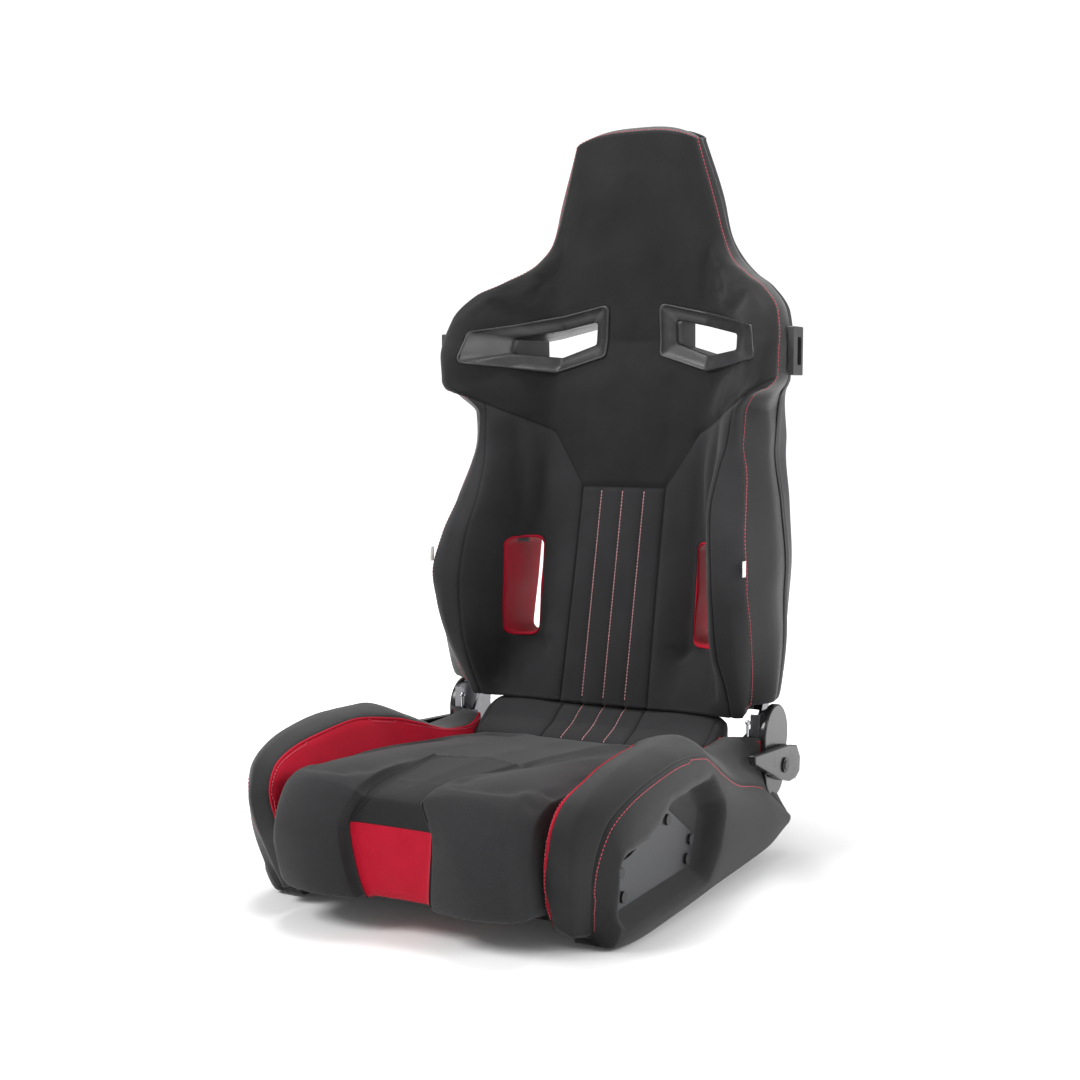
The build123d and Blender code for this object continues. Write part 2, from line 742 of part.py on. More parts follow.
def rear_shell_sections():
    """Inner and outer shell paths at every height, from the hem to the top of the head."""
    rows = []
    hem = (0.005,) + torso_stations[1][1:]
    for station in [hem] + torso_stations[2:-1]:
        z, _, back = torso_section(station)
        s = spine(z)
        rows.append((z, shell_section(z, back, side_tube_x + back_tube_radius + 3,
                                      s + pad_thickness + frame_space - 1, frame_space)))
    depths = [(side_tube_x + 8, 42, 25), (165, 38, 25), (160, 38, 25), (150, 38, 25),
              (130, 36, 24), (105, 38, 24), (92, 46, 24), (82, 46, 24), (62, 36, 19),
              (44, 22, 0)]
    for (z, _, back), (inner_x, corner_y, space) in zip(shoulder_sections(), depths):
        if space == 0:
            rows.append((z, shell_cap(z, back)))
        else:
            rows.append((z, shell_section(z, back, inner_x, spine(z) + corner_y, space)))
    return rows


def shell_cap(z, back):
    """The shell's top section lies close behind the foam."""
    inner = [(x + 0.5, y + 0.5) for x, y in back[:4]] + [(0, back[4][1] + 0.5)]
    outer = [(x + 0.5 * shell_wall, y + shell_wall) for x, y in back[:4]]
    outer += [(0, back[4][1] + shell_wall)]
    return inner, outer


def band(inner, outer):
    """A closed plan outline between two mirrored paths given from the side to the middle."""
    inner_path = inner + [(-x, y) for x, y in reversed(inner) if x > 0]
    outer_path = outer + [(-x, y) for x, y in reversed(outer) if x > 0]
    return inner_path + list(reversed(outer_path))


bezel_outer_x = shoulder_half_width - 29.0


def bezel_outline(grow):
    """Five-cornered harness opening in the wing, seen from the front, grown by an amount."""
    corners = [(39, 128), (42, 56), (115, 34), (bezel_outer_x, 47), (bezel_outer_x - 11, 90)]
    scale = head_height / station_height
    with BuildSketch(mode=Mode.PRIVATE) as outline:
        with BuildLine():
            Polyline(*[(x, shoulder_base + rise * scale) for x, rise in corners], close=True)
        make_face()
        if grow:
            offset(amount=grow, kind=Kind.INTERSECTION)
    return outline.sketch


def throat_outline():
    """The clear hole inside the bezel: an even band all round, and a deeper one at the outer end."""
    end_x = bezel_outer_x - bezel_end
    with BuildSketch(mode=Mode.PRIVATE) as outline:
        add(bezel_outline(-bezel_band))
        with Locations((end_x, shoulder_base)):
            Rectangle(bezel_end, 2 * head_height, align=(Align.MIN, Align.CENTER),
                      mode=Mode.SUBTRACT)
    return outline.sketch


def bezel_prism(grow, hollow=None):
    """The opening's outline as a bar along Y, less a hollow outline where one is given."""
    with BuildPart() as prism:
        with BuildSketch(Plane.XZ.offset(-spine(head_top) - 150)):
            add(bezel_outline(grow))
            if hollow is not None:
                add(hollow, mode=Mode.SUBTRACT)
        extrude(amount=330)
    return prism.part


def make_shoulder_pad():
    sections = [(z, both_sides(front + back)) for z, front, back in shoulder_sections()]
    body = plan_loft(sections)
    hole = bezel_prism(gap)
    with BuildPart() as pad:
        add(body)
        add(hole, mode=Mode.SUBTRACT)
        add(mirror(hole, about=Plane.YZ), mode=Mode.SUBTRACT)
    save(pad.part, "shoulder_pad")


def make_rear_shell():
    rows = rear_shell_sections()
    body = plan_loft([(z, band(inner, outer)) for z, (inner, outer) in rows])
    body = cut_round_the_axis(body, back_radius, 0, 300)
    body = cut_round_the_axis(body, cover_clear_radius, hinge_x - 1.5, 300)
    hole = bezel_prism(gap)
    slots = slot_prism(gap)
    with BuildPart() as shell:
        add(body)
        add(hole, mode=Mode.SUBTRACT)
        add(mirror(hole, about=Plane.YZ), mode=Mode.SUBTRACT)
        add(slots, mode=Mode.SUBTRACT)
    save(shell.part, "rear_shell")


def make_harness_frames():
    """Front bezel in the foam's face, and the rear guide from there through the shell."""
    ring = bezel_prism(0, throat_outline())
    front_sections, rear_sections = [], []
    shells = rear_shell_sections()[-10:]
    for (z, front, _), (_, (_, outer)) in list(zip(shoulder_sections(), shells))[:6]:
        proud = [(x, y - bezel_proud) for x, y in front]
        deep = [(x, y + bezel_depth) for x, y in front]
        front_sections.append((z, proud + list(reversed(deep))))
        start = [(x, y + bezel_depth + gap) for x, y in front[:4]]
        rear = [(x, y + 2) for x, y in outer[1:]]
        rear_sections.append((z, start + rear))
    for name, sections in (("harness_bezel", front_sections), ("harness_guide", rear_sections)):
        layer = plan_loft(sections)
        with BuildPart() as frame:
            add(ring)
            add(layer, mode=Mode.INTERSECT)
        save_pair(frame.part, name)


def make_lumbar_liners():
    """Sleeve through each side slot, cut to the lean of the backrest in front."""
    lean_normal = Vector(0, -1, lean).normalized()
    face = Plane(origin=(0, spine(slot_low) + 10, slot_low), z_dir=lean_normal)
    rear = Plane(origin=(0, spine(slot_low) + pad_thickness + frame_space + shell_wall, slot_low),
                 z_dir=lean_normal)
    with BuildPart() as liner:
        with BuildSketch(Plane.XZ.offset(-spine(slot_high) - 120)):
            with Locations((slot_inner_x + slot_width / 2, (slot_low + slot_high) / 2)):
                RectangleRounded(slot_width, slot_high - slot_low, 10)
                RectangleRounded(slot_width - 2 * liner_wall,
                                 slot_high - slot_low - 2 * liner_wall, 8, mode=Mode.SUBTRACT)
        extrude(amount=240)
        split(bisect_by=face, keep=Keep.BOTTOM)
        split(bisect_by=rear, keep=Keep.TOP)
    save_pair(liner.part, "lumbar_liner")


def make_seam_tags():
    """Plain sewn tags that stand out of the outer seams."""
    z = back_bottom + 0.483 * torso_height
    seam_x = torso_half_width - 21.0
    seam_y = spine(z) - 101.0
    with BuildPart() as tags:
        with Locations((seam_x + 1.3, seam_y - 6.0, z)):
            Box(1.2, 9.0, 20.0)
        mirror(about=Plane.YZ)
    save(tags.part, "seam_tags")


def make_side_belt_guides():
    """Small slotted block on the outside of each wing."""
    z_low, z_high = shoulder_base + 26, shoulder_base + 88
    front, rear = spine(z_low + 35) - 86, spine(z_low + 35) - 44
    x = shoulder_half_width + gap + shell_wall + 0.5
    with BuildPart() as guide:
        with BuildSketch(Plane.XY.offset(z_low)):
            with BuildLine():
                Polyline((x, front), (x + 8, front), (x + 8, rear - 8), (x + 2, rear),
                         (x - 6.5, rear), close=True)
            make_face()
        extrude(amount=z_high - z_low)
        with BuildSketch(Plane.YZ.offset(x - 20)):
            with Locations(((front + rear) / 2, (z_low + z_high) / 2)):
                RectangleRounded(14, 36, 3)
        extrude(amount=40, mode=Mode.SUBTRACT)
        chamfer(guide.faces().sort_by(Axis.Z)[-1].edges(), 1.0)
    save_pair(guide.part, "side_belt_guide")


make_rails()
make_cross_tubes()
make_bosses()
make_seat_springs()
make_cushion_pad()
make_rear_insert()
make_cushion_bolsters()
make_side_plates()
make_side_plate_screws()
make_base_brackets()
make_discs()
make_disc_bolts()
make_bracket_pins()
make_covers()
make_levers()
make_release_shaft()
make_back_brackets()
make_back_tubes()
make_head_hoop()
make_back_springs()
make_torso_pad()
make_torso_bolsters()
make_shoulder_pad()
make_rear_shell()
make_harness_frames()
make_lumbar_liners()
make_seam_tags()
make_side_belt_guides()
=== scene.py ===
"""Looks of a reclining racing seat: upholstery, moulded trim, metalwork and a studio.

Metres, in the construction's frame: the seat faces -Y, +X is the sitter's left and +Z is up.
Tables that say so are in millimetres.
"""

import json
import math
from contextlib import contextmanager

import bmesh
import bpy
import numpy as np
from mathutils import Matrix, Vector


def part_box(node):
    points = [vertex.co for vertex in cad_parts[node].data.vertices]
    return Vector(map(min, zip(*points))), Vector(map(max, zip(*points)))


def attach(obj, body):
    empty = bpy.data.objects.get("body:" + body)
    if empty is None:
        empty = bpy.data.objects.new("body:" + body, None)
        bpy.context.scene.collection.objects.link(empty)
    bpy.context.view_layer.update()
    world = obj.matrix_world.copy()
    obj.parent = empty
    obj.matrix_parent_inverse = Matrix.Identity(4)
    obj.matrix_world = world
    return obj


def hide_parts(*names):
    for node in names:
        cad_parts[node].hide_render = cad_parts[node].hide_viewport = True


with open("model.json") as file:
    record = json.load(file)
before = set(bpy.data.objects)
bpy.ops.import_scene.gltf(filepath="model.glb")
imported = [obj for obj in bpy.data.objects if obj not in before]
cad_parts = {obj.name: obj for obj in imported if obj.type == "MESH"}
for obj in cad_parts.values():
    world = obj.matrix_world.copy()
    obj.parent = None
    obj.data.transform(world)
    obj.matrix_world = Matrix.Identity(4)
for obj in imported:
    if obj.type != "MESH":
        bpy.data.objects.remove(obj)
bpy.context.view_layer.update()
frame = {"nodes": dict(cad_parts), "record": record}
mm = 0.001

# ---------------------------------------------------------------- places taken from the frame

back_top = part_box("shoulder_pad")[1][2]
shaft_low, shaft_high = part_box("release_shaft")
axis_y = (shaft_low[1] + shaft_high[1]) / 2
axis_z = (shaft_low[2] + shaft_high[2]) / 2
plate_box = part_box("side_plate_left")
liner_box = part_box("lumbar_liner_left")

# The backrest's front on the centre line: its foot, and how far up it leans before it is upright.
spine_y, spine_low = 0.192, 0.182
lean, lean_rise = math.tan(math.radians(11.86)), 0.498


def spine(z):
    """Depth of the backrest's front on the centre line at height z: a lean, then upright."""
    return spine_y + np.minimum(np.asarray(z) - spine_low, lean_rise) * lean


# ---------------------------------------------------------------- curves and grids


def smooth_curve(knots, values, at):
    """Monotone cubic through rows of values, so that nothing overshoots between the knots."""
    x, y = np.asarray(knots, float), np.asarray(values, float)
    flat = y.ndim == 1
    y = y[:, None] if flat else y
    gap = np.diff(x)[:, None]
    rise = np.diff(y, axis=0) / gap
    slope = np.zeros_like(y)
    slope[0], slope[-1] = rise[0], rise[-1]
    if len(x) > 2:
        before, after = rise[:-1], rise[1:]
        w_before, w_after = 2 * gap[1:] + gap[:-1], gap[1:] + 2 * gap[:-1]
        same = before * after > 0
        safe_before, safe_after = np.where(same, before, 1), np.where(same, after, 1)
        mean = (w_before + w_after) / (w_before / safe_before + w_after / safe_after)
        slope[1:-1] = np.where(same, mean, 0)
    at = np.atleast_1d(np.asarray(at, float))
    k = np.clip(np.searchsorted(x, at, side="right") - 1, 0, len(x) - 2)
    t = np.clip((at - x[k]) / gap[k, 0], 0, 1)[:, None]
    h = gap[k]
    result = ((1 + 2 * t) * (1 - t) ** 2 * y[k] + t * (1 - t) ** 2 * h * slope[k]
              + t * t * (3 - 2 * t) * y[k + 1] + t * t * (t - 1) * h * slope[k + 1])
    return result[:, 0] if flat else result


def line(points):
    """A named line from points whose first number is its place along: a function of place."""
    table = np.asarray(points, float) * mm
    return lambda at: smooth_curve(table[:, 0], table[:, 1:], at)


def columns(counts):
    """Places across a section whose knots are 0, 1, 2...: so many steps in each span."""
    places = [k + np.arange(n) / n for k, n in enumerate(counts)]
    return np.append(np.concatenate(places), len(counts))


def across(knots, places):
    """Section points at places, through the knot points of every row: (rows, knots, 3)."""
    rows = []
    for row in knots:
        steps = np.maximum(np.linalg.norm(np.diff(row, axis=0), axis=1), 1e-5)
        chord = np.append(0, np.cumsum(steps))
        at = np.interp(places, np.arange(len(row)), chord)
        rows.append(smooth_curve(chord, row, at))
    return np.array(rows)


def even_rows(path, step):
    """Places along a line so that the line's points there lie a step apart."""
    fine = np.linspace(0, 1, 2000)
    points = path(fine)
    run = np.append(0, np.cumsum(np.linalg.norm(np.diff(points, axis=0), axis=1)))
    count = max(2, round(run[-1] / step))
    return np.interp(np.linspace(0, run[-1], count + 1), run, fine)


def mirrored(half):
    """A whole grid from its +X half, given from the middle outwards."""
    other = half[:, :0:-1] * np.array([-1, 1, 1])
    return np.concatenate([other, half], axis=1)


def whole_width(places):
    """Places across a whole section from those of its +X half, which start in the middle."""
    return np.concatenate([-places[:0:-1], places])


def at_knots(places, *knots):
    """Which places are at one of these knots, on either side, as a row."""
    return np.isin(np.round(np.abs(places), 6), knots)[None, :]


def column_at(places, place):
    """The column whose place is nearest."""
    return int(np.argmin(np.abs(places - place)))


def seam_map(places, rows):
    """The place across and the place along of every point of a grid."""
    return np.stack(np.broadcast_arrays(places[None, :], rows[:, None]), axis=2)


def grid_lengths(grid):
    """Distances across and along a grid from its middle column and first row."""
    over = np.linalg.norm(np.diff(grid, axis=1), axis=2)
    over = np.concatenate([np.zeros((len(grid), 1)), np.cumsum(over, axis=1)], axis=1)
    over -= over[:, grid.shape[1] // 2][:, None]
    along = np.linalg.norm(np.diff(grid, axis=0), axis=2)
    along = np.concatenate([np.zeros((1, grid.shape[1])), np.cumsum(along, axis=0)])
    return over, along


def smooth_step(value, low, high):
    t = np.clip((np.asarray(value) - low) / (high - low), 0, 1)
    return t * t * (3 - 2 * t)


def distance_to_path(points, path):
    """Distance in the plane from each point to a polyline."""
    best = np.full(len(points), 9.0)
    for a, b in zip(path, path[1:]):
        a, b = np.asarray(a, float), np.asarray(b, float)
        t = np.clip((points - a) @ (b - a) / max((b - a) @ (b - a), 1e-12), 0, 1)
        best = np.minimum(best, np.linalg.norm(points - a - t[:, None] * (b - a), axis=1))
    return best


def inside(points, outline):
    """Which points of the plane lie inside a closed outline."""
    result = np.zeros(len(points), bool)
    x, y = points[:, 0], points[:, 1]
    for (ax, ay), (bx, by) in zip(outline, list(outline[1:]) + [outline[0]]):
        crosses = (ay > y) != (by > y)
        if ay != by:
            result ^= crosses & (x < (bx - ax) * (y - ay) / (by - ay) + ax)
    return result


def signed_inside(points, outline):
    """Distance inside a closed outline, negative outside it."""
    closed = list(outline) + [outline[0]]
    return np.where(inside(points, outline), 1, -1) * distance_to_path(points, closed)


# ---------------------------------------------------------------- meshes


def new_object(name, data):
    """A new object of the scene with this data."""
    made = bpy.data.objects.new(name, data)
    bpy.context.scene.collection.objects.link(made)
    return made


@contextmanager
def edited(piece):
    """A piece's mesh, open for editing and written back at the end."""
    work = bmesh.new()
    work.from_mesh(piece.data)
    yield work
    work.to_mesh(piece.data)
    work.free()


def make_object(name, vertices, faces, materials, face_materials=None):
    mesh = bpy.data.meshes.new(name)
    mesh.from_pydata([tuple(v) for v in vertices], [], [tuple(int(i) for i in f) for f in faces])
    for material in materials:
        mesh.materials.append(material)
    if face_materials is not None:
        mesh.polygons.foreach_set("material_index", np.asarray(face_materials, np.int32))
    mesh.polygons.foreach_set("use_smooth", [True] * len(mesh.polygons))
    return new_object(name, mesh)


def outward(piece):
    """Merge doubles and point every face outwards."""
    with edited(piece) as work:
        bmesh.ops.remove_doubles(work, verts=work.verts, dist=1e-6)
        bmesh.ops.recalc_face_normals(work, faces=work.faces)
    return piece


def baked(piece):
    """Turn a piece's live modifiers into its mesh."""
    graph = bpy.context.evaluated_depsgraph_get()
    mesh = bpy.data.meshes.new_from_object(piece.evaluated_get(graph), depsgraph=graph)
    piece.modifiers.clear()
    old = piece.data
    piece.data = mesh
    mesh.name = old.name
    return piece


def grid_faces(rows, cols, start=0, closed=False):
    """Quads of a grid of vertices numbered row by row, joined round when closed."""
    faces = []
    for i in range(rows - 1):
        for j in range(cols if closed else cols - 1):
            k = (j + 1) % cols
            faces.append((start + i * cols + j, start + i * cols + k,
                          start + (i + 1) * cols + k, start + (i + 1) * cols + j))
    return faces


def ring_solid(name, rings, material, closed_loop=True):
    """A closed piece through rings of points; the last ring meets the first when closed."""
    rings = np.array(rings)
    count, size = rings.shape[:2]
    faces = grid_faces(count, size, closed=True)
    if closed_loop:
        last = (count - 1) * size
        faces += [(last + j, last + (j + 1) % size, (j + 1) % size, j) for j in range(size)]
    else:
        faces += [tuple(range(size - 1, -1, -1)), tuple((count - 1) * size + j for j in range(size))]
    return outward(make_object(name, rings.reshape(-1, 3), faces, [material]))


def tube(name, path, radius, material, sides=8):
    """A round cord through points, with closed ends."""
    path = np.asarray(path)
    along = np.gradient(path, axis=0)
    along /= np.linalg.norm(along, axis=1)[:, None]
    rings = []
    side = np.cross(along[0], (0.3, 0.2, 0.93))
    for point, way in zip(path, along):
        side = side - way * (side @ way)
        side /= np.linalg.norm(side)
        up = np.cross(way, side)
        turn = np.arange(sides) / sides * math.tau
        rings.append(point + radius * (np.cos(turn)[:, None] * side + np.sin(turn)[:, None] * up))
    return ring_solid(name, rings, material, closed_loop=False)


def mirror_copy(piece, name):
    """The same piece on the other side of the seat, facing outwards."""
    twin = new_object(name, piece.data.copy())
    with edited(twin) as work:
        for vertex in work.verts:
            vertex.co.x = -vertex.co.x
        bmesh.ops.reverse_faces(work, faces=work.faces)
    return twin


def finish(piece, body, slot, *nodes, fill=None):
    """Give a piece its body and hide the nodes that it stands for; the material slot is not used."""
    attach(piece, body)
    if nodes:
        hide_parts(*nodes)
    return piece


def finish_pair(left, body, slot, node=None, fill=None):
    """Finish a left piece and its mirror image, whose names and nodes end in their sides."""
    right = mirror_copy(left, left.name.replace("_left", "_right"))
    for piece, side in ((left, "_left"), (right, "_right")):
        finish(piece, body, slot, *([node + side] if node else []), fill=fill)


# ---------------------------------------------------------------- shader expressions


class Value:
    """A shader socket that takes part in Python arithmetic."""

    def __init__(self, shader, socket):
        self.shader, self.socket = shader, socket

    def math(self, operation, *others, **settings):
        return self.shader.node("ShaderNodeMath", (self, *others), operation=operation, **settings)

    def __add__(self, other): return self.math("ADD", other)
    def __sub__(self, other): return self.math("SUBTRACT", other)
    def __rsub__(self, other): return self.shader.number("SUBTRACT", other, self)
    def __mul__(self, other): return self.math("MULTIPLY", other)
    def __truediv__(self, other): return self.math("DIVIDE", other)
    def __gt__(self, other): return self.math("GREATER_THAN", other)
    def __lt__(self, other): return self.math("LESS_THAN", other)
    def __pow__(self, other): return self.math("POWER", other)
    def __abs__(self): return self.math("ABSOLUTE")
    def sine(self): return self.math("SINE")
    def least(self, other): return self.math("MINIMUM", other)
    def most(self, other): return self.math("MAXIMUM", other)

    def span(self, low, high, start=0.0, end=1.0):
        """Map a range of this value to another, smoothly and without passing its ends."""
        return self.shader.node("ShaderNodeMapRange", (self, low, high, start, end),
                                interpolation_type="SMOOTHSTEP", clamp=True)

    __radd__, __rmul__ = __add__, __mul__


class Shader:
    """One material's node tree, written as expressions."""

    def __init__(self, name, **constants):
        self.material = bpy.data.materials.new(name)
        self.material.use_nodes = True
        self.tree = self.material.node_tree
        self.surface = self.tree.nodes["Principled BSDF"]
        for socket, value in constants.items():
            socket = socket.replace("_", " ").title().replace("Ior", "IOR")
            self.surface.inputs[socket].default_value = value

    def node(self, kind, inputs=(), output=0, **settings):
        """A node of a type, with its settings, then its inputs by order or by name."""
        made = self.tree.nodes.new(kind)
        for key, value in settings.items():
            setattr(made, key, value)
        pairs = inputs.items() if isinstance(inputs, dict) else enumerate(inputs)
        for key, value in pairs:
            socket = made.inputs[key]
            if isinstance(value, Value):
                self.tree.links.new(value.socket, socket)
            else:
                socket.default_value = value
        return Value(self, made.outputs[output])

    def number(self, operation, first, second):
        return self.node("ShaderNodeMath", (first, second), operation=operation)

    def place(self):
        """X, Y and Z of the point, in the object's own metres."""
        spot = self.node("ShaderNodeTexCoord", output="Object")
        return [self.node("ShaderNodeSeparateXYZ", (spot,), output=k) for k in range(3)]

    def map(self, name):
        """The two numbers of a named UV map."""
        spot = self.node("ShaderNodeUVMap", uv_map=name)
        return [self.node("ShaderNodeSeparateXYZ", (spot,), output=k) for k in range(2)]

    def noise(self, scale, detail=3.0, roughness=0.55):
        spot = self.node("ShaderNodeTexCoord", output="Object")
        inputs = {"Vector": spot, "Scale": scale, "Detail": detail, "Roughness": roughness}
        return self.node("ShaderNodeTexNoise", inputs)

    def mix(self, share, first, second):
        """A colour between two colours, each a triple or a socket."""
        first, second = ((*c, 1) if isinstance(c, tuple) else c for c in (first, second))
        return self.node("ShaderNodeMix", {0: share, 6: first, 7: second}, output=2, data_type="RGBA")

    def bump(self, height, strength, depth):
        inputs = {"Height": height, "Strength": strength, "Distance": depth}
        return self.node("ShaderNodeBump", inputs)

    def set(self, **sockets):
        for name, value in sockets.items():
            self.tree.links.new(value.socket, self.surface.inputs[name.replace("_", " ").title()])
        return self.material


def weave_height(shader, u, v, thread):
    """Over-and-under threads of a plain weave, from 0 to 1."""
    turn = math.pi / thread
    warp, weft = (u * turn).sine(), (v * turn).sine()
    return (warp * weft) * 0.5 + 0.5


def knit_height(shader, u, v, thread):
    """Small slanted cells of a smooth knitted cloth, from 0 to 1."""
    turn = math.tau / thread
    return ((u * turn + v * turn * 0.5).sine() * (v * turn * 0.9).sine()) * 0.5 + 0.5


def make_fabric(name, low, high, thread, relief, rough, weave=weave_height, sheen=0.10):
    """A cloth in one colour that varies from low to high with its threads and with wear."""
    shader = Shader(name, sheen_weight=sheen, sheen_roughness=0.45, ior=1.27)
    u, v = shader.map("cloth")
    height = weave(shader, u, v, thread)
    wear = shader.noise(14.0).span(0.35, 0.7)
    fine = shader.noise(900.0, 2.0)
    colour = shader.mix((height * 0.55 + wear * 0.25 + fine * 0.2), low, high)
    roughness = wear * 0.08 + rough
    bump = shader.bump(height * 0.8 + fine * 0.2, relief, 0.0004)
    return shader, colour, roughness, bump, (u, v, height)


grey_low, grey_high = (0.009, 0.009, 0.0098), (0.031, 0.031, 0.033)
black_low, black_high = (0.006, 0.006, 0.0064), (0.0165, 0.0165, 0.0172)
red_low, red_high = (0.24, 0.0, 0.008), (0.46, 0.0006, 0.022)
# Painted shade: near-black colour drawn along the sewn seams, where the cloth folds into its grooves.
seam_groove_shade = (0.004, 0.004, 0.004)


def plain_fabric(name, low, high, thread, relief, rough, **settings):
    """A cloth without seams of its own."""
    shader, colour, roughness, bump, _ = make_fabric(name, low, high, thread, relief, rough, **settings)
    return shader.set(base_color=colour, roughness=roughness, normal=bump)


def grey_cloth(name):
    """The woven grey cloth, to be marked with its seams."""
    return make_fabric(name, grey_low, grey_high, thread=0.0011, relief=0.55, rough=0.78)


def seam_shade(value, width):
    """Mask of the painted shade along a seam: 1 on the seam, fading to 0 a width away; value is the distance
    from it.
    """
    return 1 - abs(value).span(width * 0.35, width)


# The seam under the shoulders, in millimetres: (distance from the middle, height)
yoke_seam = [(63, 478), (110.5, 553), (199, 598.5)]


def backrest_fabric():
    """Smooth black cloth over the shoulders, woven grey cloth below the yoke seam, and painted shade along
    the seams.
    """
    shader, grey, rough, bump, (u, v, _) = grey_cloth("backrest_cloth")
    x, _, z = shader.place()
    (x0, z0), (x1, z1), (x2, z2) = [(a * mm, b * mm) for a, b in yoke_seam]
    side = abs(x)
    first = ((side - x0) / (x1 - x0)).most(0.0).least(1.0)
    second = ((side - x1) / (x2 - x1)).most(0.0).least(1.6)
    seam = first * (z1 - z0) + second * (z2 - z1) + z0
    above = (z - seam).span(-0.0006, 0.0006)
    knit = knit_height(shader, u, v, 0.0012)
    wear = shader.noise(9.0).span(0.3, 0.75)
    black = shader.mix(knit * 0.5 + wear * 0.5, black_low, black_high)
    colour = shader.mix(above, grey, black)
    across_place, _ = shader.map("seams")
    # Painted shade: near-black lines along the yoke seam, and below it along the panel and bolster seams.
    lines = seam_shade(z - seam, 0.0022)
    for place in (panel_knot, bolster_knot):
        lines = lines.most(seam_shade(abs(across_place) - place, 0.06) * (1 - above))
    colour = shader.mix(lines * 0.85, colour, seam_groove_shade)
    return shader.set(base_color=colour, roughness=rough - above * 0.1, normal=bump)


def side_fabric():
    """Black satin cloth with a soft sheen."""
    return plain_fabric("side_cloth", (0.007, 0.007, 0.0075), (0.02, 0.02, 0.021), 0.0009, 0.3, 0.5,
                        weave=knit_height, sheen=0.25)


def grained_plastic(name, low, high, rough, grain=900.0, relief=0.35):
    """Moulded plastic with a fine leather grain and paler scuffs."""
    shader = Shader(name, ior=1.48)
    cells = shader.noise(grain, 4.0)
    scuff = shader.noise(30.0, 5.0).span(0.45, 0.8)
    colour = shader.mix(cells * 0.4 + scuff * 0.6, low, high)
    return shader.set(base_color=colour, roughness=scuff * 0.12 + (cells * 0.06 + rough),
                      normal=shader.bump(cells, relief, 0.0002))


def painted_metal(name, low, high, rough, metallic=0.0, coat=0.0, peel=60.0):
    """Powder-coated or plated metal with a slight orange peel and handling marks."""
    shader = Shader(name, coat_weight=coat, coat_roughness=0.12)
    peel_height = shader.noise(peel * 10, 2.0)
    marks = shader.noise(peel, 6.0, 0.7).span(0.5, 0.8)
    colour = shader.mix(marks * 0.7 + peel_height * 0.3, low, high)
    shader.surface.inputs["Metallic"].default_value = metallic
    return shader.set(base_color=colour, roughness=marks * 0.15 + rough,
                      normal=shader.bump(peel_height, 0.12, 0.0003))


def thread_finish(name, low, high):
    """Twisted sewing thread."""
    shader = Shader(name, sheen_weight=0.4)
    x, y, z = shader.place()
    twist = ((x + y + z) * (math.tau / 0.0012)).sine() * 0.5 + 0.5
    colour = shader.mix(twist, low, high)
    return shader.set(base_color=colour, roughness=twist * 0.1 + 0.55)


# ---------------------------------------------------------------- upholstery tools


class Cover:
    """Grids of points that are sewn into one closed cover, each with its own cloth lengths."""

    def __init__(self):
        self.vertices, self.faces, self.cloth, self.seams, self.kinds = [], [], [], [], []

    def add(self, grid, kind=0, places=None, closed=False):
        rows, cols = grid.shape[:2]
        if closed:
            grid = np.concatenate([grid, grid[:, :1]], axis=1)
            cols += 1
        over, along = grid_lengths(grid)
        if places is None:
            places = np.full((rows, cols, 2), -9.0)
        start = len(self.vertices)
        self.vertices.extend(grid.reshape(-1, 3))
        faces = grid_faces(rows, cols, start)
        self.faces.extend(faces)
        self.kinds.extend([kind] * len(faces))
        self.cloth.extend(np.stack([over, along], axis=2).reshape(-1, 2))
        self.seams.extend(np.asarray(places).reshape(-1, 2))

    def close(self, rim, shares, bulge=0.0):
        """Close an open end with ever smaller rings, pushed out by bulge in the middle."""
        middle = rim.mean(axis=0)
        self.add(np.array([middle + (rim - middle) * s + bulge * (1 - s) for s in shares]))

    def build(self, name, materials):
        piece = make_object(name, self.vertices, self.faces, materials, self.kinds)
        corners = np.empty(len(piece.data.loops), np.int32)
        piece.data.loops.foreach_get("vertex_index", corners)
        for layer, table in (("cloth", self.cloth), ("seams", self.seams)):
            uv = piece.data.uv_layers.new(name=layer)
            uv.data.foreach_set("uv", np.asarray(table, np.float32)[corners].ravel())
        return outward(piece)


def grid_normals(grid):
    """Unit normals of a grid: the way across it crossed with the way along it."""
    over, along = np.gradient(grid, axis=1), np.gradient(grid, axis=0)
    normal = np.cross(over, along)
    return normal / np.maximum(np.linalg.norm(normal, axis=2, keepdims=True), 1e-12)


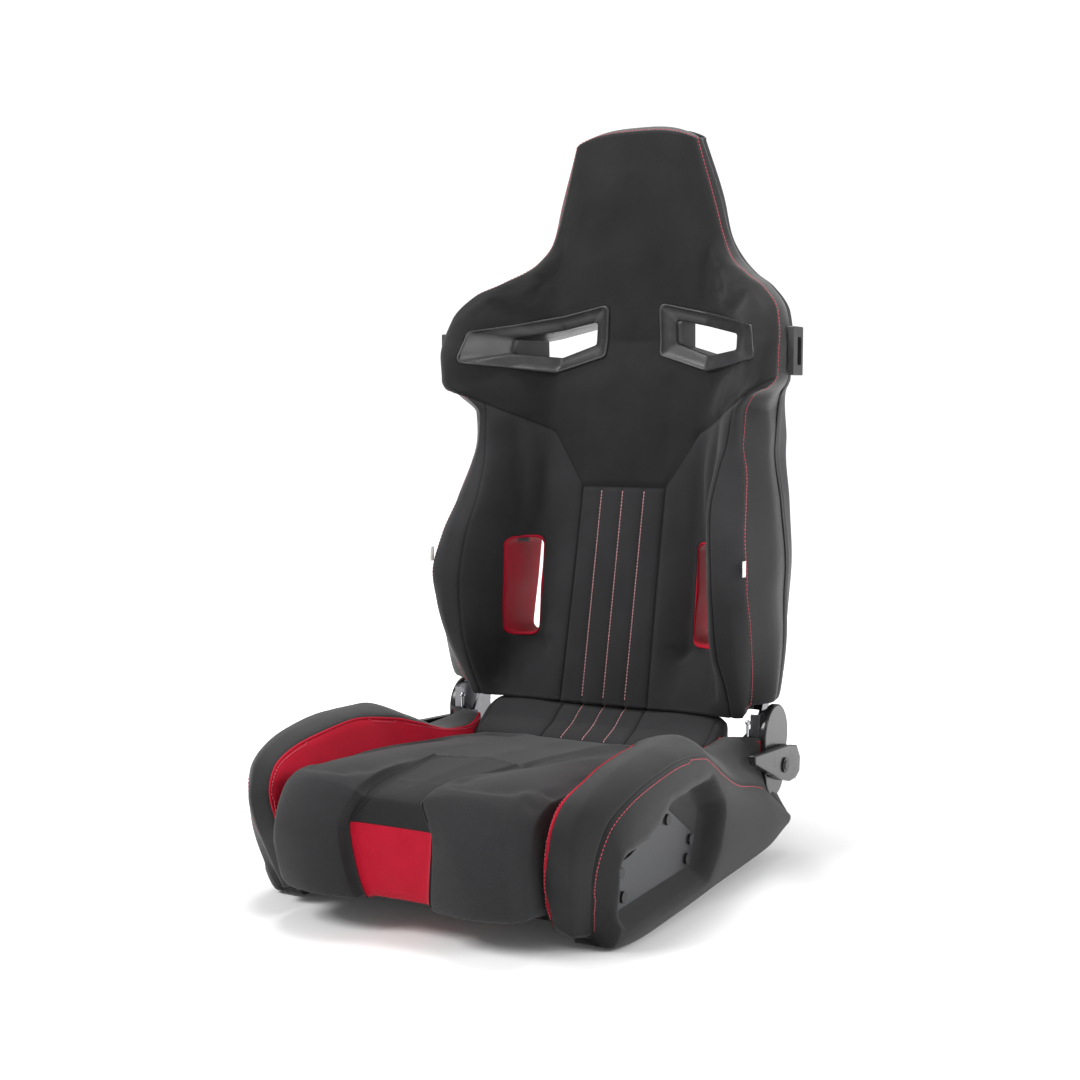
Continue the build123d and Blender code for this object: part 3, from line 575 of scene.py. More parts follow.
def swell(grid, pinned, cap, pressure=4.0, frames=20):
    """Let cloth belly out between its sewn points, and return how far each point moved.

    The cloth is the front of a closed bag whose back is held.
    """
    rows, cols = grid.shape[:2]
    count = rows * cols
    bag_depth = 0.03
    back = grid - bag_depth * grid_normals(grid)
    faces = grid_faces(rows, cols)
    faces += [tuple(reversed(face)) for face in grid_faces(rows, cols, count)]
    rim = [(0, j) for j in range(cols)] + [(i, cols - 1) for i in range(1, rows)]
    rim += [(rows - 1, j) for j in range(cols - 2, -1, -1)] + [(i, 0) for i in range(rows - 2, 0, -1)]
    ring = [i * cols + j for i, j in rim]
    faces += [(b, a, a + count, b + count) for a, b in zip(ring, ring[1:] + ring[:1])]
    points = np.concatenate([grid.reshape(-1, 3), back.reshape(-1, 3)])
    piece = make_object("swelling", points, faces, [])
    held = np.flatnonzero(np.concatenate([pinned.ravel(), np.ones(count, bool)]))
    piece.vertex_groups.new(name="sewn").add([int(i) for i in held], 1.0, "REPLACE")
    cloth = piece.modifiers.new("cloth", "CLOTH")
    cloth.settings.vertex_group_mass = "sewn"
    cloth.settings.use_pressure = True
    cloth.settings.uniform_pressure_force = pressure
    cloth.settings.effector_weights.gravity = 0
    cloth.settings.quality = 5
    cloth.point_cache.frame_start, cloth.point_cache.frame_end = 1, frames
    for frame_number in range(1, frames + 1):
        bpy.context.scene.frame_set(frame_number)
    graph = bpy.context.evaluated_depsgraph_get()
    result = piece.evaluated_get(graph).to_mesh()
    moved = np.empty(len(points) * 3)
    result.vertices.foreach_get("co", moved)
    bpy.data.objects.remove(piece)
    bpy.context.scene.frame_set(1)
    shift = (moved.reshape(-1, 3) - points)[:count].reshape(grid.shape)
    length = np.linalg.norm(shift, axis=2, keepdims=True)
    return shift * np.minimum(1, cap / np.maximum(length, 1e-9))


def refine(shift, rows, cols, fine_rows, fine_cols):
    """A coarse grid's movement at the places of a finer grid."""
    depth = len(rows)
    wide = smooth_curve(cols, shift.transpose(1, 0, 2).reshape(len(cols), -1), fine_cols)
    wide = wide.reshape(len(fine_cols), depth, 3).transpose(1, 0, 2).reshape(depth, -1)
    return smooth_curve(rows, wide, fine_rows).reshape(len(fine_rows), len(fine_cols), 3)


def groove(distance, width, depth):
    """Depth of a sewn groove at a distance from its seam."""
    return depth * np.clip(1 - np.abs(distance) / width, 0, 1) ** 1.7


def seam_depth(grid, places, seams):
    """Depth of the grooves down a grid, each given as (place, width, depth, share of it by row)."""
    over, _ = grid_lengths(grid)
    depth = np.zeros(grid.shape[:2])
    for place, width, deep, share in seams:
        column = column_at(places, place)
        depth = np.maximum(depth, groove(over - over[:, column:column + 1], width, deep) * share)
    return depth


def both_sides(seams):
    """Seams of the +X half together with their mirror images."""
    return [(sign * place, *rest) for place, *rest in seams for sign in (-1, 1)]


def clustered(counts):
    """Places across a section, closer together beside every knot."""
    places = [k + (1 - np.cos(np.arange(n) / n * math.pi)) / 2 for k, n in enumerate(counts)]
    return np.append(np.concatenate(places), len(counts))


def cut_away(work, outline):
    """Remove the faces whose centres lie inside an outline, seen along Y."""
    centres = np.array([face.calc_center_median()[:] for face in work.faces])[:, [0, 2]]
    gone = [face for face, cut in zip(list(work.faces), inside(centres, outline)) if cut]
    bmesh.ops.delete(work, geom=gone, context="FACES")


def nearest_on(outline, spot):
    """The point of a closed outline that is nearest to a spot."""
    closed = [np.asarray(p, float) for p in list(outline) + [outline[0]]]
    best = None
    for a, b in zip(closed, closed[1:]):
        t = min(1, max(0, (spot - a) @ (b - a) / max((b - a) @ (b - a), 1e-12)))
        near = a + t * (b - a)
        reach = np.linalg.norm(spot - near)
        if best is None or reach < best[0]:
            best = (reach, near)
    return best[1]


def cut_through(piece, outline):
    """Open a hole along Y through a closed cover, with clean edges on the outline."""
    with edited(piece) as work:
        cut_away(work, outline)
        border = [edge for edge in work.edges if edge.is_boundary]
        for vertex in {v for edge in border for v in edge.verts}:
            spot = np.array([vertex.co.x, vertex.co.z])
            vertex.co.x, vertex.co.z = nearest_on(outline, spot)
        bmesh.ops.bridge_loops(work, edges=border)
        bmesh.ops.recalc_face_normals(work, faces=work.faces)
        for face in work.faces:
            face.smooth = True


def flipped(outline):
    """An outline's mirror image on the other side."""
    return [(-x, z) for x, z in reversed(outline)]


def rounded(outline, radius, steps=6):
    """A closed outline with its corners rounded by arcs."""
    points = [np.asarray(p, float) for p in outline]
    result = []
    for before, corner, after in zip(points[-1:] + points[:-1], points, points[1:] + points[:1]):
        a, b = before - corner, after - corner
        la, lb = np.linalg.norm(a), np.linalg.norm(b)
        a, b = a / la, b / lb
        half = math.acos(max(-1, min(1, a @ b))) / 2
        reach = min(radius / math.tan(half), 0.45 * la, 0.45 * lb)
        true_radius = reach * math.tan(half)
        centre = corner + (a + b) / np.linalg.norm(a + b) * true_radius / math.sin(half)
        start, end = corner + a * reach - centre, corner + b * reach - centre
        turn = math.atan2(start[0] * end[1] - start[1] * end[0], start @ end)
        angle = math.atan2(start[1], start[0])
        for k in range(steps + 1):
            at = angle + turn * k / steps
            result.append(tuple(centre + true_radius * np.array([math.cos(at), math.sin(at)])))
    return result


def evenly(outline, count):
    """A closed outline as evenly spaced points."""
    points = np.asarray(list(outline) + [outline[0]], float)
    run = np.append(0, np.cumsum(np.linalg.norm(np.diff(points, axis=0), axis=1)))
    at = np.linspace(0, run[-1], count, endpoint=False)
    return np.stack([np.interp(at, run, points[:, k]) for k in range(2)], axis=1)


def inset(outline, distance):
    """A closed outline, given anticlockwise, moved inwards by an even distance."""
    points = [np.asarray(p, float) for p in outline]
    moved = []
    for before, corner, after in zip(points[-1:] + points[:-1], points, points[1:] + points[:1]):
        a, b = corner - before, after - corner
        a, b = a / np.linalg.norm(a), b / np.linalg.norm(b)
        na, nb = np.array([-a[1], a[0]]), np.array([-b[1], b[0]])
        moved.append(tuple(corner + distance * (na + nb) / (1 + na @ nb)))
    return moved


# ---------------------------------------------------------------- backrest

# Named lines of the backrest in millimetres: (height, distance from the middle, depth behind
# the spine). A negative depth is in front of it.
back_centre_front = line([(182, 0, 0), (460, 0, 0), (541, 0, -4), (598, 0, -6), (710, 0, -6), (818, 0, -6),
                          (949, 0, -13)])
channel_line = line([(182, 32.5, 0.5), (460, 32.5, 0.5), (541, 32.5, -4), (710, 32, -6.5), (788, 30, -6),
                     (949, 22, -13)])
panel_line = line([(182, 66, 1), (230, 65, 1), (460, 63, 2), (508, 64, 0), (598, 64, -6), (710, 64, -7),
                   (788, 56, -6), (852, 48, -9), (949, 42, -13)])
pocket_line = line([(182, 112, 2), (230, 110, 12), (267, 112, 20), (317, 113, 17), (367, 113, 13),
                    (413, 112, 8), (460, 112, 4), (541, 108, -5), (598, 112, -9), (663, 112, -11),
                    (710, 110, -10), (762, 98, -7), (818, 84, -6), (949, 58, -13)])
foot_line = line([(182, 150, 1), (230, 150, 4), (267, 150, 0), (317, 150, -10), (367, 150, -14),
                  (413, 148, -18), (508, 146, -26), (577, 150, -40), (611, 164, -48), (663, 170, -58),
                  (700, 164, -50), (745, 144, -26), (788, 112, -10), (818, 100, -7), (949, 70, -13)])
bolster_line = line([(182, 190, -2), (230, 192, -40), (267, 190, -69), (317, 189.5, -92), (367, 187, -105),
                     (413, 182, -107), (469, 175, -97), (508, 177, -86), (541, 182, -80), (577, 185, -80),
                     (598, 190, -82), (611, 200, -90), (625, 208, -97), (663, 210, -104), (700, 205, -96),
                     (745, 176, -56), (788, 126, -18), (818, 112, -9), (949, 79, -13)])
nose_line = line([(182, 201, 0), (230, 208, -38), (267, 211, -67), (317, 213, -94), (367, 211, -108),
                  (413, 204, -110), (460, 196, -98), (508, 192, -83), (541, 191, -79), (577, 192, -82),
                  (598, 204, -95), (611, 222, -109), (625, 234, -114), (663, 236, -119), (700, 230, -108),
                  (745, 198, -75), (788, 137, -22), (818, 121, -9), (949, 85, -12)])
edge_line = line([(182, 210, 4), (230, 222, -26), (265, 228.5, -51), (317, 233, -82), (367, 232, -103),
                  (413, 224.5, -100), (460, 215, -84), (508, 206, -71), (541, 198, -69), (577, 198, -70),
                  (598, 212, -90), (611, 238, -107), (625, 250, -104), (663, 251.5, -112), (710, 243, -98),
                  (745, 213, -79), (762, 183, -56), (788, 147, -23), (818, 129, -7), (852, 118.5, -5),
                  (949, 91, -9)])
side_line = line([(182, 232, 20), (222, 246, 4), (291, 251, -15), (367, 251, -41), (459, 236, -35),
                  (539, 219, -29), (580, 219, -42), (602, 232, -68), (625, 250, -77), (663, 252, -87),
                  (710, 243, -74), (745, 214, -52), (762, 185, -28), (788, 153, -4), (818, 134, 8),
                  (870, 120, 7), (949, 94, 3)])
corner_line = line([(182, 229, 33), (222, 243, 23), (291, 248, 14), (367, 248, 1), (459, 233, 4),
                    (539, 216, 7), (602, 224, -12), (625, 241, -35), (663, 243, -42), (710, 235, -34),
                    (745, 207, -22), (762, 179, -4), (788, 149, 16), (818, 130, 22), (870, 118, 21),
                    (949, 92, 17)])
inner_depth_line = line([(182, 0, 40), (870, 0, 38), (949, 0, 27)])
shell_flank_line = line([(182, 211, 66), (367, 222, 66), (459, 214, 66), (539, 204, 66), (602, 206, 42),
                         (663, 206, 38), (710, 197, 38), (745, 173, 36), (788, 129, 38), (818, 113, 46),
                         (870, 102, 46), (949, 78, 38)])
shell_flat_line = line([(182, 188, 70), (539, 188, 70), (602, 184, 70), (663, 160, 70), (710, 150, 70),
                        (745, 130, 69), (788, 105, 69), (870, 82, 69), (949, 60, 58)])
shell_centre_line = line([(182, 0, 70), (788, 0, 70), (870, 0, 69), (949, 0, 58)])

# Places of the seams across the backrest, and the height where its lower panels end.
panel_knot, bolster_knot, edge_knot = 2, 5, 7
panel_top = 0.478
head_row, crown_height = 0.949, back_top - 0.957
front_lines = [back_centre_front, channel_line, panel_line, pocket_line, foot_line, bolster_line, nose_line,
               edge_line]


def at_heights(path, heights):
    """Points of a named line at heights."""
    x, depth = path(heights).T
    return np.stack([x, spine(heights) + depth, heights], axis=1)


def clear_of_recliner(points):
    """Push points out of the round spaces about the recline axis, more so beside the covers."""
    points = np.array(points)
    rel_y, rel_z = points[..., 1] - axis_y, points[..., 2] - axis_z
    reach = np.hypot(rel_y, rel_z)
    clearance, cover_extra = 0.0705, 0.0172
    need = clearance + cover_extra * smooth_step(np.abs(points[..., 0]), 0.2055, 0.2115)
    scale = np.maximum(1, need / np.maximum(reach, 1e-6))
    points[..., 1] = axis_y + rel_y * scale
    points[..., 2] = axis_z + rel_z * scale
    return points


def crowned(grid, heights, half_widths):
    """Raise the top rows of a grid in the middle, so that the head ends in a round edge."""
    share = np.clip(np.abs(grid[..., 0]) / half_widths[:, None], 0, 1)
    lift = crown_height * smooth_step(heights, 0.865, head_row + 0.004)[:, None] * (1 - share ** 3)
    grid = np.array(grid)
    grid[..., 2] += lift
    return grid


def backrest_grid(lines, heights, places):
    """A whole sheet of the backrest through named lines, from side to side and bottom to top."""
    sections = np.stack([at_heights(path, heights) for path in lines], axis=1)
    half = across(sections, places)
    half_widths = np.max(half[..., 0], axis=1)
    return crowned(mirrored(half), heights, half_widths)


def backrest_heights(step):
    """Heights of rows that lie a step apart along the edge seam."""
    def height(share):
        return spine_low + (head_row - spine_low) * share

    return height(even_rows(lambda share: at_heights(edge_line, height(share)), step))


def seam_both(path):
    """A seam and its mirror image, in metres."""
    half = [(x * mm, z * mm) for x, z in path]
    return [half, [(-x, z) for x, z in half]]


yoke_paths = seam_both(yoke_seam + [(212, 604)]) + [[(-0.063, panel_top), (0.063, panel_top)]]
crease_paths = seam_both([(160, 258), (163, 238), (166, 208)]) + seam_both([(116, 262), (104, 250)])
slot_outline = rounded([(0.118, 0.267), (0.158, 0.267), (0.158, 0.406), (0.118, 0.406)], 0.011)
bezel_corners = [(0.039, 0.730), (0.042, 0.658), (0.115, 0.636), (0.223, 0.649), (0.212, 0.692)]
throat_corners = [(0.061, 0.7065), (0.063, 0.6745), (0.113, 0.6565), (0.171, 0.6625), (0.169, 0.6835)]


def backrest_shift(heights, places):
    """How far the swollen cloth of the backrest's front moves, at the places of a fine grid."""
    coarse_heights = backrest_heights(0.009)
    coarse_places = columns([3, 3, 4, 4, 6, 3, 3])
    coarse = backrest_grid(front_lines, coarse_heights, coarse_places)
    whole = whole_width(coarse_places)
    flat = coarse[..., [0, 2]].reshape(-1, 2)
    near = np.zeros(len(flat), bool)
    for path in yoke_paths:
        near |= distance_to_path(flat, path) < 0.006
    for hole in (slot_outline, flipped(slot_outline), bezel_corners, flipped(bezel_corners)):
        near |= signed_inside(flat, hole) > -0.008
    pinned = at_knots(whole, panel_knot, bolster_knot, edge_knot) & (coarse_heights < 0.60)[:, None]
    pinned |= at_knots(whole, 0, 1) & (coarse_heights < panel_top)[:, None]
    pinned |= near.reshape(coarse.shape[:2])
    pinned |= at_knots(whole, edge_knot)
    pinned[[0, -1]] = True
    shift = swell(coarse, pinned, cap=0.007)
    return refine(shift, coarse_heights, whole, heights, whole_width(places))


def backrest_front(heights, places):
    """The sewn front of the backrest: swollen cloth, grooves, channels and creases."""
    grid = backrest_grid(front_lines, heights, places) + backrest_shift(heights, places)
    fine = whole_width(places)
    flat = grid[..., [0, 2]].reshape(-1, 2)
    depth = np.zeros(len(flat))
    for paths, width, deep in ((yoke_paths, 0.006, 0.0028), (crease_paths, 0.010, 0.0035)):
        for path in paths:
            depth = np.maximum(depth, groove(distance_to_path(flat, path), width, deep))
    below = 1 - smooth_step(heights, 0.474, 0.480)[:, None]
    lower = 1 - smooth_step(heights, 0.560, 0.600)[:, None]
    seams = [(0, 0.007, 0.0022, below), (1, 0.007, 0.0022, below), (panel_knot, 0.006, 0.003, below),
             (bolster_knot, 0.004, 0.0014, lower), (edge_knot, 0.006, 0.002, 1.0)]
    depth = np.maximum(depth.reshape(grid.shape[:2]), seam_depth(grid, fine, both_sides(seams)))
    return grid - grid_normals(grid) * depth[..., None], fine


def perimeter(rows, cols):
    """Rows and columns of a grid's rim, up the right side, over the top and down the left."""
    rim = [(i, cols - 1) for i in range(rows)] + [(rows - 1, j) for j in range(cols - 2, -1, -1)]
    return rim + [(i, 0) for i in range(rows - 2, -1, -1)] + [(0, j) for j in range(1, cols - 1)]


def backrest_back(front, heights):
    """The hidden rear sheet of the foam: the front's columns, laid flat inside the shell."""
    half_front = np.max(front[..., 0], axis=1)
    x_corner, depth_corner = corner_line(heights).T
    depth_inner = inner_depth_line(heights)[:, 1]
    share = np.clip(front[..., 0] / half_front[:, None], -1, 1)
    back = np.empty_like(front)
    back[..., 0] = share * x_corner[:, None]
    depth = depth_inner[:, None] - (depth_inner - depth_corner)[:, None] * np.abs(share) ** 4
    back[..., 1] = spine(heights)[:, None] + depth
    back[..., 2] = front[..., 2]
    return back


def side_rings(front, back, heights, steps):
    """Rings of the side panel, from the edge seam round to the rear corner of the foam."""
    rows, cols = front.shape[:2]
    rim = perimeter(rows, cols)
    start = np.array([front[i, j] for i, j in rim])
    end = np.array([back[i, j] for i, j in rim])
    side = (start + end) / 2
    edge_points = at_heights(side_line, heights)
    for k, (i, j) in enumerate(rim):
        if j in (0, cols - 1):
            side[k] = edge_points[i] * (1 if j else -1, 1, 1)
        elif i == rows - 1:
            side[k, 2] += 0.006 * (1 - abs(start[k, 0] / front[i, -1, 0]) ** 3)
    sections = np.stack([start, side, end], axis=1)
    rings = across(sections, np.linspace(0, 2, steps + 1)).transpose(1, 0, 2)
    middle = rings.mean(axis=(0, 1))
    bulge = 0.0022
    for k, ring in enumerate(rings[1:-1], 1):
        away = ring - middle
        away[:, 1] = 0
        away /= np.linalg.norm(away, axis=1)[:, None]
        ring += away * bulge * math.sin(math.pi * k / steps)
    return rings


def make_back_cushion(cloth, satin):
    """Head, shoulders and torso: one sewn cover over the backrest's foam."""
    heights = backrest_heights(0.0042)
    places = clustered([8, 8, 10, 9, 13, 7, 6])
    front, fine = backrest_front(heights, places)
    back = backrest_back(front, heights)
    front, back = clear_of_recliner(front), clear_of_recliner(back)
    rings = clear_of_recliner(side_rings(front, back, heights, 11))
    cover = Cover()
    cover.add(front, 0, seam_map(fine, heights))
    cover.add(back, 1)
    cover.add(rings, 1, closed=True)
    piece = cover.build("back_cushion", [cloth, satin])
    for hole in (slot_outline, inset(bezel_corners, 0.003)):
        cut_through(piece, hole)
        cut_through(piece, flipped(hole))
    return piece, front, fine, heights, rings


def make_rear_shell(plastic):
    """Moulded rear shell: a wall that follows the foam's corner, with openings for belts."""
    gap, wall = 0.0015, 0.0028
    heights = backrest_heights(0.008)
    lines = [shell_centre_line, shell_flat_line, shell_flank_line, corner_line]
    grid = backrest_grid(lines, heights, clustered([12, 8, 12]))
    grid[..., 1] += gap
    lip = grid[:, [0, -1]] + np.array([[-0.0012, -0.012, 0], [0.0012, -0.012, 0]])
    grid = np.concatenate([lip[:, :1], grid, lip[:, 1:]], axis=1)
    grid = clear_of_recliner(grid)
    cap = grid[-1:] + np.array([0, -0.036, 0.0035])
    cap[0, :, 1] = np.maximum(cap[0, :, 1], spine(head_row) + 0.016)
    cover = Cover()
    cover.add(np.concatenate([grid, cap]))
    piece = cover.build("rear_shell_moulding", [plastic])
    for hole in (inset(slot_outline, -0.001), inset(bezel_corners, 0.001)):
        open_sheet(piece, hole)
        open_sheet(piece, flipped(hole))
    solidify = piece.modifiers.new("wall", "SOLIDIFY")
    solidify.thickness, solidify.offset = wall, 1.0
    return outward(baked(piece))


def open_sheet(piece, outline):
    """Cut a hole with clean edges into an open sheet."""
    shortest_cut = 0.004
    with edited(piece) as work:
        for a, b in zip(outline, list(outline[1:]) + [outline[0]]):
            if math.hypot(b[0] - a[0], b[1] - a[1]) < shortest_cut:
                continue
            near = [f for f in work.faces if inside_box(f.calc_center_median(), outline, 0.01)]
            geometry = near + list({e for f in near for e in f.edges})
            geometry += list({v for f in near for v in f.verts})
            bmesh.ops.bisect_plane(work, geom=geometry, plane_co=(a[0], 0, a[1]),
                                   plane_no=(b[1] - a[1], 0, a[0] - b[0]))
        cut_away(work, outline)


def inside_box(point, outline, margin):
    """Whether a point lies in the rectangle round an outline, with a margin."""
    xs, zs = zip(*outline)
    return (min(xs) - margin < point[0] < max(xs) + margin
            and min(zs) - margin < point[2] < max(zs) + margin)


# ---------------------------------------------------------------- moulded trim and slot liners


def surface_depth(x, z):
    """Depth of the unsewn front of the backrest at a place."""
    section = np.stack([at_heights(path, np.atleast_1d(z)) for path in front_lines], axis=1)[0]
    return float(np.interp(abs(x), section[:, 0], section[:, 1]))


def nearest(points, corners):
    """For each corner, the number of the point nearest to it."""
    return [int(np.argmin(np.hypot(*(points - corner).T))) for corner in np.array(corners)]


def make_bezel(plastic):
    """Wide bevelled frame of the harness opening, which follows the wing."""
    count, fine = 140, 1400
    outer = evenly(rounded(bezel_corners, 0.007), count)
    throat = evenly(rounded(throat_corners, 0.004), fine)
    # Corners are joined to corners, and the points between them share out the side.
    pairs = sorted(zip(nearest(outer, bezel_corners), nearest(throat, throat_corners)))
    marks, goals = (list(numbers) for numbers in zip(*pairs))
    for k in range(1, len(goals)):
        while goals[k] < goals[k - 1]:
            goals[k] += fine
    marks, goals = marks + [marks[0] + count], goals + [goals[0] + fine]
    at = [k if k >= marks[0] else k + count for k in range(count)]
    inner = throat[np.interp(at, marks, goals).astype(int) % fine]
    surface = np.array([surface_depth(x, z) for x, z in outer])
    front = np.array([surface_depth(x, z) for x, z in inner])

    def ring(share, depth, base=None, grow=0.0):
        flat = outer + (inner - outer) * share
        middle = outer.mean(axis=0)
        away = flat - middle
        flat = flat + away / np.linalg.norm(away, axis=1)[:, None] * grow
        level = (surface + (front - surface) * share) if base is None else base
        return np.stack([flat[:, 0], level + depth, flat[:, 1]], axis=1)

    rings = [ring(0, 0.012, grow=-0.001), ring(0, 0.0, grow=0.0012), ring(0, -0.0022, grow=0.0009),
             ring(0.0, -0.0034, grow=-0.0004), ring(0.07, -0.0032), ring(0.13, -0.0018), ring(0.20, 0.0004),
             ring(0.55, 0.0030), ring(0.90, 0.0060), ring(0.97, 0.0072), ring(1.0, 0.0090),
             ring(1.0, 0.022), ring(0.9, 0.022), ring(0.85, 0.013), ring(0.3, 0.010)]
    return ring_solid("harness_bezel_moulding_left", rings, plastic)


def make_liner(red):
    """Red sleeve of the side slot, with a rolled lip that follows the pad."""
    (x0, _, z0), (x1, _, z1) = liner_box
    corners = [(x0, z0), (x1, z0), (x1, z1), (x0, z1)]
    path = evenly(rounded(corners, 0.011, 10), 96)
    middle = path.mean(axis=0)
    away = path - middle
    away /= np.linalg.norm(away, axis=1)[:, None]
    surface = np.array([surface_depth(x, z) for x, z in path])
    rear = spine(path[:, 1]) + 0.0735

    def ring(depth, inward, base=surface):
        flat = path - away * inward
        return np.stack([flat[:, 0], base + depth, flat[:, 1]], axis=1)

    rings = [ring(0.014, -0.0006), ring(0.005, -0.0010), ring(0.0022, -0.0004), ring(0.0012, 0.0008),
             ring(0.0022, 0.0022), ring(0.005, 0.0028), ring(0.012, 0.0026), ring(0.025, 0.0022),
             ring(-0.004, 0.0022, rear), ring(0.0, 0.0010, rear), ring(0.0008, -0.0012, rear),
             ring(-0.002, -0.0016, rear)]
    return ring_solid("slot_liner_left", rings, red)


flat_area = 2.5e-5      # faces larger than this are flat faces of a part, not rounded edges


def soften(node, width, material, segments=2, angle=28):
    """A carried-over part with its sharp edges rounded off, as a new piece."""
    piece = new_object(node + "_finished", frame["nodes"][node].data.copy())
    with edited(piece) as work:
        bmesh.ops.remove_doubles(work, verts=work.verts, dist=2e-6)
        bmesh.ops.dissolve_limit(work, angle_limit=math.radians(0.8), verts=work.verts, edges=work.edges)
        for face in work.faces:
            face.smooth = True
    piece.data.materials.clear()
    piece.data.materials.append(material)
    bevel = piece.modifiers.new("edges", "BEVEL")
    bevel.width, bevel.segments = width, segments
    bevel.limit_method, bevel.angle_limit = "ANGLE", math.radians(angle)
    bevel.use_clamp_overlap = True
    baked(piece)
    for face in piece.data.polygons:
        face.use_smooth = face.area < flat_area
    return piece


# ---------------------------------------------------------------- stitches


def stitch_tree():
    """Evenly spaced stitches along the edges of a mesh; the sizes are inputs of the tree."""
    tree = bpy.data.node_groups.new("stitches", "GeometryNodeTree")
    face = tree.interface
    face.new_socket("Path", in_out="INPUT", socket_type="NodeSocketGeometry")
    for name in ("Pitch", "Length", "Width"):
        face.new_socket(name, in_out="INPUT", socket_type="NodeSocketFloat")
    face.new_socket("Thread", in_out="INPUT", socket_type="NodeSocketMaterial")
    face.new_socket("Stitches", in_out="OUTPUT", socket_type="NodeSocketGeometry")

    def add(kind, links=(), **settings):
        node = tree.nodes.new(kind)
        for key, value in settings.items():
            setattr(node, key, value)
        for socket, source in dict(links).items():
            if isinstance(source, bpy.types.NodeSocket):
                tree.links.new(source, node.inputs[socket])
            else:
                node.inputs[socket].default_value = source
        return node

    given = add("NodeGroupInput").outputs
    curve = add("GeometryNodeMeshToCurve", {"Mesh": given["Path"]})
    points = add("GeometryNodeResampleCurve", {"Curve": curve.outputs[0], "Length": given["Pitch"]},
                 mode="LENGTH")
    bead = add("GeometryNodeMeshUVSphere", {"Segments": 6, "Rings": 5, "Radius": 0.5})
    size = add("ShaderNodeCombineXYZ", {"X": given["Length"], "Y": given["Width"], "Z": given["Width"]})
    stitch = add("GeometryNodeTransform", {"Geometry": bead.outputs[0], "Scale": size.outputs[0]})
    way = add("GeometryNodeInputTangent")
    turn = add("FunctionNodeAlignRotationToVector", {"Vector": way.outputs[0]}, axis="X")
    sewn = add("GeometryNodeInstanceOnPoints", {"Points": points.outputs[0], "Instance": stitch.outputs[0],
                                                "Rotation": turn.outputs[0]})
    real = add("GeometryNodeRealizeInstances", {"Geometry": sewn.outputs[0]})
    coloured = add("GeometryNodeSetMaterial", {"Geometry": real.outputs[0], "Material": given["Thread"]})
    add("NodeGroupOutput", {"Stitches": coloured.outputs[0]})
    return tree


def sew(name, paths, thread, pitch=0.0048, length=0.0036, width=0.0012):
    """Stitches along paths, as one plain mesh."""
    vertices, edges = [], []
    for path in paths:
        start = len(vertices)
        vertices.extend(tuple(p) for p in path)
        edges.extend((start + k, start + k + 1) for k in range(len(path) - 1))
    mesh = bpy.data.meshes.new(name)
    mesh.from_pydata(vertices, edges, [])
    piece = new_object(name, mesh)
    modifier = piece.modifiers.new("stitches", "NODES")
    modifier.node_group = stitching
    sizes = {"Pitch": pitch, "Length": length, "Width": width, "Thread": thread}
    for item in stitching.interface.items_tree:
        if item.name in sizes and item.in_out == "INPUT":
            modifier[item.identifier] = sizes[item.name]
    baked(piece)
    piece.data.polygons.foreach_set("use_smooth", [True] * len(piece.data.polygons))
    return piece


def grid_path(grid, column, rows, lift, shift=0.0):
    """A path along a grid's column, lifted off the cloth and shifted across it."""
    normals = grid_normals(grid)
    over = np.gradient(grid, axis=1)
    over /= np.maximum(np.linalg.norm(over, axis=2, keepdims=True), 1e-9)
    return grid[rows, column] + normals[rows, column] * lift + over[rows, column] * shift


# ---------------------------------------------------------------- cushion


def knots(points):
    """Knot points in metres from millimetres."""
    return np.array(points, float) * mm


# Side profiles of the cushion in millimetres: (distance from the middle, y, z). Each goes up its
# rear, forward over the top, down the front and back along the underside.
cushion_profiles = knots([
    [(0, 128, 60), (0, 128, 140), (0, 0, 160), (0, -140, 169), (0, -250, 167), (0, -311, 157),
     (0, -317, 126), (0, -303, 44), (0, -244, 38), (0, 0, 44), (0, 128, 60)],
    [(60, 128, 60), (60, 128, 140), (60, 0, 161), (56.5, -142, 169), (42, -250, 167), (38, -312, 157),
     (55, -319, 126), (43, -304, 44), (43, -244, 38), (60, 0, 44), (60, 128, 60)],
    [(67, 128, 60), (67, 128, 141), (67, 0, 162), (64, -142, 173), (50, -252, 179), (46, -323, 166),
     (63, -333, 122), (52, -314, 41), (52, -244, 38), (67, 0, 44), (67, 128, 60)],
    [(100, 128, 60), (100, 128, 141), (100, 0, 165), (100, -140, 180), (100, -252, 189), (98, -324, 176),
     (104, -345, 115), (102, -322, 41), (100, -244, 38), (100, 0, 44), (100, 128, 60)],
    [(140, 128, 60), (140, 128, 140), (141, 0, 162), (143, -140, 175), (146, -252, 180), (145, -314, 164),
     (147, -336, 110), (145, -312, 41), (142, -244, 38), (140, 0, 44), (140, 128, 60)],
    [(163, 128, 60), (163, 128, 132), (163, 0, 152), (164, -140, 162), (165, -250, 162), (166, -294, 146),
     (166, -309, 105), (165, -294, 46), (163, -238, 40), (163, 0, 44), (163, 128, 60)],
])
# The same for the insert between the cushion and the backrest, from its front edge upwards.
insert_profiles = knots([
    [(x, 131, 92), (x, 129 + dy, 140 + dz), (x, 166, 160.5 + dz), (x, 200, 180 + dz), (x, 208, 181 + dz),
     (x, 214, 172 + dz), (x, 214, 112), (x, 172, 100), (x, 131, 92)]
    for x, dy, dz in ((0, 0, 0), (32, 0, 0), (62, 0, 0), (110, 0, 2), (150, 4, 0.5), (168, 8, -3),
                      (176, 16, -9))])

# The cushion's middle panel: its half width, and the y of its rear seam in the middle and how much
# further forward the seam is at the sides.
panel_half, arc_y, arc_forward = 0.0565, -0.118, -0.024


